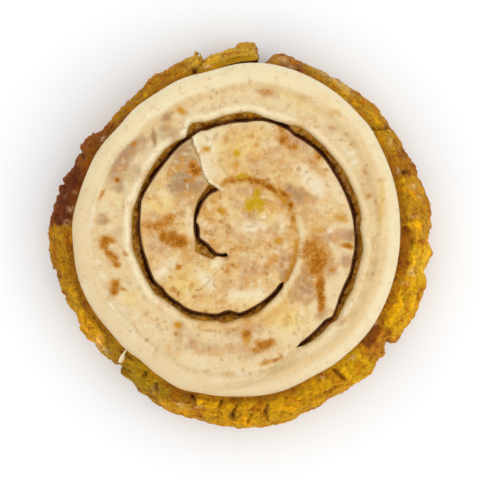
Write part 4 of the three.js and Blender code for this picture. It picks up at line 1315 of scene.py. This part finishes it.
# Sugar icing, poured and set: wet gloss, see-through where thin, with browned dough and spice coming through
def makeIcingMaterial():
    poured, tree, shader = newMaterial("sugarIcingPoured")
    colour = addNode(tree, "ShaderNodeAttribute", attribute_name="tint").outputs["Color"]
    spots = addNode(tree, "ShaderNodeAttribute", attribute_name="spots").outputs["Vector"]
    mottled = addNode(tree, "ShaderNodeAttribute", attribute_name="mottled").outputs["Fac"]
    cream = addNode(tree, "ShaderNodeAttribute", attribute_name="cream").outputs["Color"]
    glaze = addNode(tree, "ShaderNodeAttribute", attribute_name="deep").outputs["Fac"]
    where = addNode(tree, "ShaderNodeTexCoord").outputs["Object"]
    cloud = addNode(tree, "ShaderNodeTexNoise", {
        "Vector": where, "Scale": 1 / (4.6 * mm), "Detail": 5.0, "Roughness": 0.6})
    bent = addNode(tree, "ShaderNodeVectorMath", {
        0: cloud.outputs["Color"], 1: (3.5 * mm,) * 3, 2: where}, operation="MULTIPLY_ADD")
    fine = addNode(tree, "ShaderNodeTexNoise", {
        "Vector": bent.outputs[0], "Scale": 1 / (1.7 * mm), "Detail": 6.0, "Roughness": 0.68}).outputs["Fac"]
    sugar = addNode(tree, "ShaderNodeTexNoise", {
        "Vector": where, "Scale": 1 / (0.5 * mm), "Detail": 2.0}).outputs["Fac"]
    part = addNode(tree, "ShaderNodeSeparateXYZ", {"Vector": spots})
    # each spot's soft shape is broken up by the grain before it is cut to an edge
    ragged = {}
    for name, axis, amount in (
        ("halo", "X", 0.9), ("core", "X", 2.0), ("ochre", "Y", 1.4), ("lemon", "Z", 1.3),
    ):
        ragged[name] = addNode(tree, "ShaderNodeMath", {
            0: fine, 1: amount, 2: part.outputs[axis]}, operation="MULTIPLY_ADD").outputs[0]
    cored = addNode(tree, "ShaderNodeMapRange", {
        "Value": ragged["core"], "From Min": 1.1, "From Max": 2.15},
        interpolation_type="SMOOTHSTEP").outputs[0]
    torn = addNode(tree, "ShaderNodeMath", {0: fine, 1: 0.9, 2: glaze}, operation="MULTIPLY_ADD").outputs[0]
    for value, least, most, amount, over in (
        (fine, 0.55, 0.68, 0.7, unlit("#b07a44")),  # dough under thin glaze
        (cloud.outputs["Fac"], 0.46, 0.34, 0.6, unlit("#e0c490")),
        (torn, 0.70, 1.25, 0.95, cream),  # the opaque glaze, with torn edges
        (cloud.outputs["Fac"], 0.50, 0.64, mottled, unlit("#dba150")),  # mottling of the inner rings
        (fine, 0.54, 0.70, mottled, unlit("#bb8444")),
        (fine, 0.47, 0.32, mottled, unlit("#f0d8a6")),
        (ragged["ochre"], 0.7, 1.75, 1.0, unlit("#d29530")),  # ochre and browned spots
        (ragged["halo"], 0.45, 1.2, 1.0, unlit("#dca04c")),
        (cored, 0.0, 1.0, 1.0, unlit("#bd7628")),
        (part.outputs["X"], 0.82, 1.0, 0.7, unlit("#8d5216")),
        (sugar, 0.54, 0.68, cored, unlit("#965c1c")),  # dark and pale grains in the browned spots
        (fine, 0.48, 0.36, cored, unlit("#e3ae62")),
        (ragged["lemon"], 0.8, 1.6, 1.0, unlit("#d4a812")),  # yellow spots
        (ragged["lemon"], 1.45, 1.9, 0.6, unlit("#b08c0a")),
    ):
        share = addNode(tree, "ShaderNodeMapRange", {
            "Value": value, "From Min": least, "From Max": most, "To Max": amount},
            interpolation_type="SMOOTHSTEP")
        colour = addNode(tree, "ShaderNodeMix", {
            0: share.outputs[0], 6: colour, 7: over}, data_type="RGBA").outputs[2]
    height = addNode(tree, "ShaderNodeMath", {0: fine, 1: mottled}, operation="MULTIPLY")
    grainy = addNode(tree, "ShaderNodeMath", {
        0: sugar, 1: cored, 2: height.outputs[0]}, operation="MULTIPLY_ADD")
    bump = addNode(tree, "ShaderNodeBump", {
        "Height": grainy.outputs[0], "Strength": 0.55, "Distance": 0.6 * mm})
    rough = addNode(tree, "ShaderNodeMapRange", {"Value": cored, "To Min": 0.3, "To Max": 0.6})
    # browned and yellow places are dry, without the icing's gleam
    dry = addNode(tree, "ShaderNodeVectorMath", {0: spots, 1: (1.0, 0.9, 1.0)}, operation="DOT_PRODUCT")
    gleam = addNode(tree, "ShaderNodeMapRange", {
        "Value": dry.outputs["Value"], "From Min": 0.15, "From Max": 0.8, "To Min": 0.45, "To Max": 0.08})
    tree.links.new(colour, shader.inputs["Base Color"])
    tree.links.new(bump.outputs["Normal"], shader.inputs["Normal"])
    tree.links.new(rough.outputs[0], shader.inputs["Roughness"])
    tree.links.new(gleam.outputs[0], shader.inputs["Specular IOR Level"])
    shader.inputs["Subsurface Weight"].default_value = 0.15
    shader.inputs["Subsurface Radius"].default_value = (1.0, 0.65, 0.35)
    shader.inputs["Subsurface Scale"].default_value = 1.2 * mm
    return poured


icingPiece = pourIcing()
paintIcing(icingPiece)
pouredIcing = makeIcingMaterial()
icingPiece.data.materials.append(pouredIcing)
print("icing poured and painted")

# Crumbs: loose grains of the crust, scattered over the rim

crumbs = {"density": 0.2, "least": 0.2, "most": 0.5, "seed": 11}  # grains on a square millimetre, radii


# Torn crust grains: dry, each a little lighter or darker
def makeCrumbMaterial():
    grains, tree, shader = newMaterial("crustCrumbsDry")
    tint = addNode(tree, "ShaderNodeAttribute", attribute_name="tint").outputs["Color"]
    shade = addNode(tree, "ShaderNodeAttribute", attribute_name="shade").outputs["Fac"]
    varied = addNode(tree, "ShaderNodeMapRange", {"Value": shade, "To Min": 0.8, "To Max": 1.25})
    colour = addNode(tree, "ShaderNodeVectorMath", {0: tint, "Scale": varied.outputs[0]}, operation="SCALE")
    tree.links.new(colour.outputs[0], shader.inputs["Base Color"])
    shader.inputs["Roughness"].default_value = 0.8
    shader.inputs["Specular IOR Level"].default_value = 0.1
    return grains


def makeCrumbTree(material):
    tree = bpy.data.node_groups.new("scatteredCrumbs", "GeometryNodeTree")
    addInput(tree, "Geometry", "NodeSocketGeometry", None)
    names = ("Density", "Least size", "Most size")
    ids = {name: addInput(tree, name, "NodeSocketFloat", 0.0) for name in names}
    ids["Seed"] = addInput(tree, "Seed", "NodeSocketInt", 0)
    tree.interface.new_socket(name="Geometry", in_out="OUTPUT", socket_type="NodeSocketGeometry")
    given = addNode(tree, "NodeGroupInput")
    share = addNode(tree, "GeometryNodeInputNamedAttribute", {"Name": "crumbs"}, data_type="FLOAT")
    density = addNode(tree, "ShaderNodeMath", {
        0: share.outputs["Attribute"], 1: given.outputs["Density"]}, operation="MULTIPLY")
    spots = addNode(tree, "GeometryNodeDistributePointsOnFaces", {
        "Mesh": given.outputs["Geometry"], "Density": density.outputs[0], "Seed": given.outputs["Seed"]})
    block = addNode(tree, "GeometryNodeMeshCube", {"Vertices X": 3, "Vertices Y": 3, "Vertices Z": 3})
    spot = addNode(tree, "GeometryNodeInputPosition")
    rounder = addNode(tree, "ShaderNodeVectorMath", {0: spot.outputs[0]}, operation="NORMALIZE")
    lumpy = addNode(tree, "ShaderNodeTexNoise", {"Vector": spot.outputs[0], "Scale": 1.6})
    stretch = addNode(tree, "ShaderNodeMath", {0: lumpy.outputs["Fac"], 1: 0.45}, operation="ADD")
    knobbly = addNode(tree, "ShaderNodeVectorMath", {
        0: rounder.outputs[0], "Scale": stretch.outputs[0]}, operation="SCALE")
    crumb = addNode(tree, "GeometryNodeSetPosition", {
        "Geometry": block.outputs["Mesh"], "Position": knobbly.outputs[0]})
    sizes = addNode(tree, "FunctionNodeRandomValue", {
        2: given.outputs["Least size"], 3: given.outputs["Most size"], "Seed": 3}, data_type="FLOAT")
    turned = addNode(tree, "FunctionNodeRandomValue", {
        1: (6.28, 6.28, 6.28), "Seed": 5}, data_type="FLOAT_VECTOR")
    placed = addNode(tree, "GeometryNodeInstanceOnPoints", {
        "Points": spots.outputs["Points"], "Instance": crumb.outputs["Geometry"],
        "Rotation": turned.outputs[0], "Scale": sizes.outputs[1]})
    shade = addNode(tree, "FunctionNodeRandomValue", {"Seed": 8}, data_type="FLOAT")
    marked = addNode(tree, "GeometryNodeStoreNamedAttribute", {
        "Geometry": placed.outputs["Instances"], "Name": "shade", "Value": shade.outputs[1]},
        data_type="FLOAT", domain="INSTANCE")
    real = addNode(tree, "GeometryNodeRealizeInstances", {"Geometry": marked.outputs["Geometry"]})
    finish = addNode(tree, "GeometryNodeSetMaterial", {
        "Geometry": real.outputs["Geometry"], "Material": material})
    addNode(tree, "NodeGroupOutput", {"Geometry": finish.outputs["Geometry"]})
    return tree, ids


crustCrumbs = makeCrumbMaterial()
crumbTree, crumbIds = makeCrumbTree(crustCrumbs)
crumbPiece = bakeNodes("crust_crumbs", doughPiece.data.copy(), crumbTree, {
    crumbIds["Density"]: crumbs["density"] / mm ** 2,
    crumbIds["Least size"]: crumbs["least"] * mm,
    crumbIds["Most size"]: crumbs["most"] * mm,
    crumbIds["Seed"]: crumbs["seed"],
})
print("crumbs scattered")

# Every piece rides on the roll's one body and stands for its solid

for piece, node, slot in (
    (doughPiece, "dough", "baked_dough"),
    (crumbPiece, "dough", "baked_dough"),
    (fillingPiece, "cinnamon_filling", "cinnamon_paste"),
    (icingPiece, "icing", "poured_icing"),
):
    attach(piece, "root")
    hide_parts(node)

print("all pieces in place")
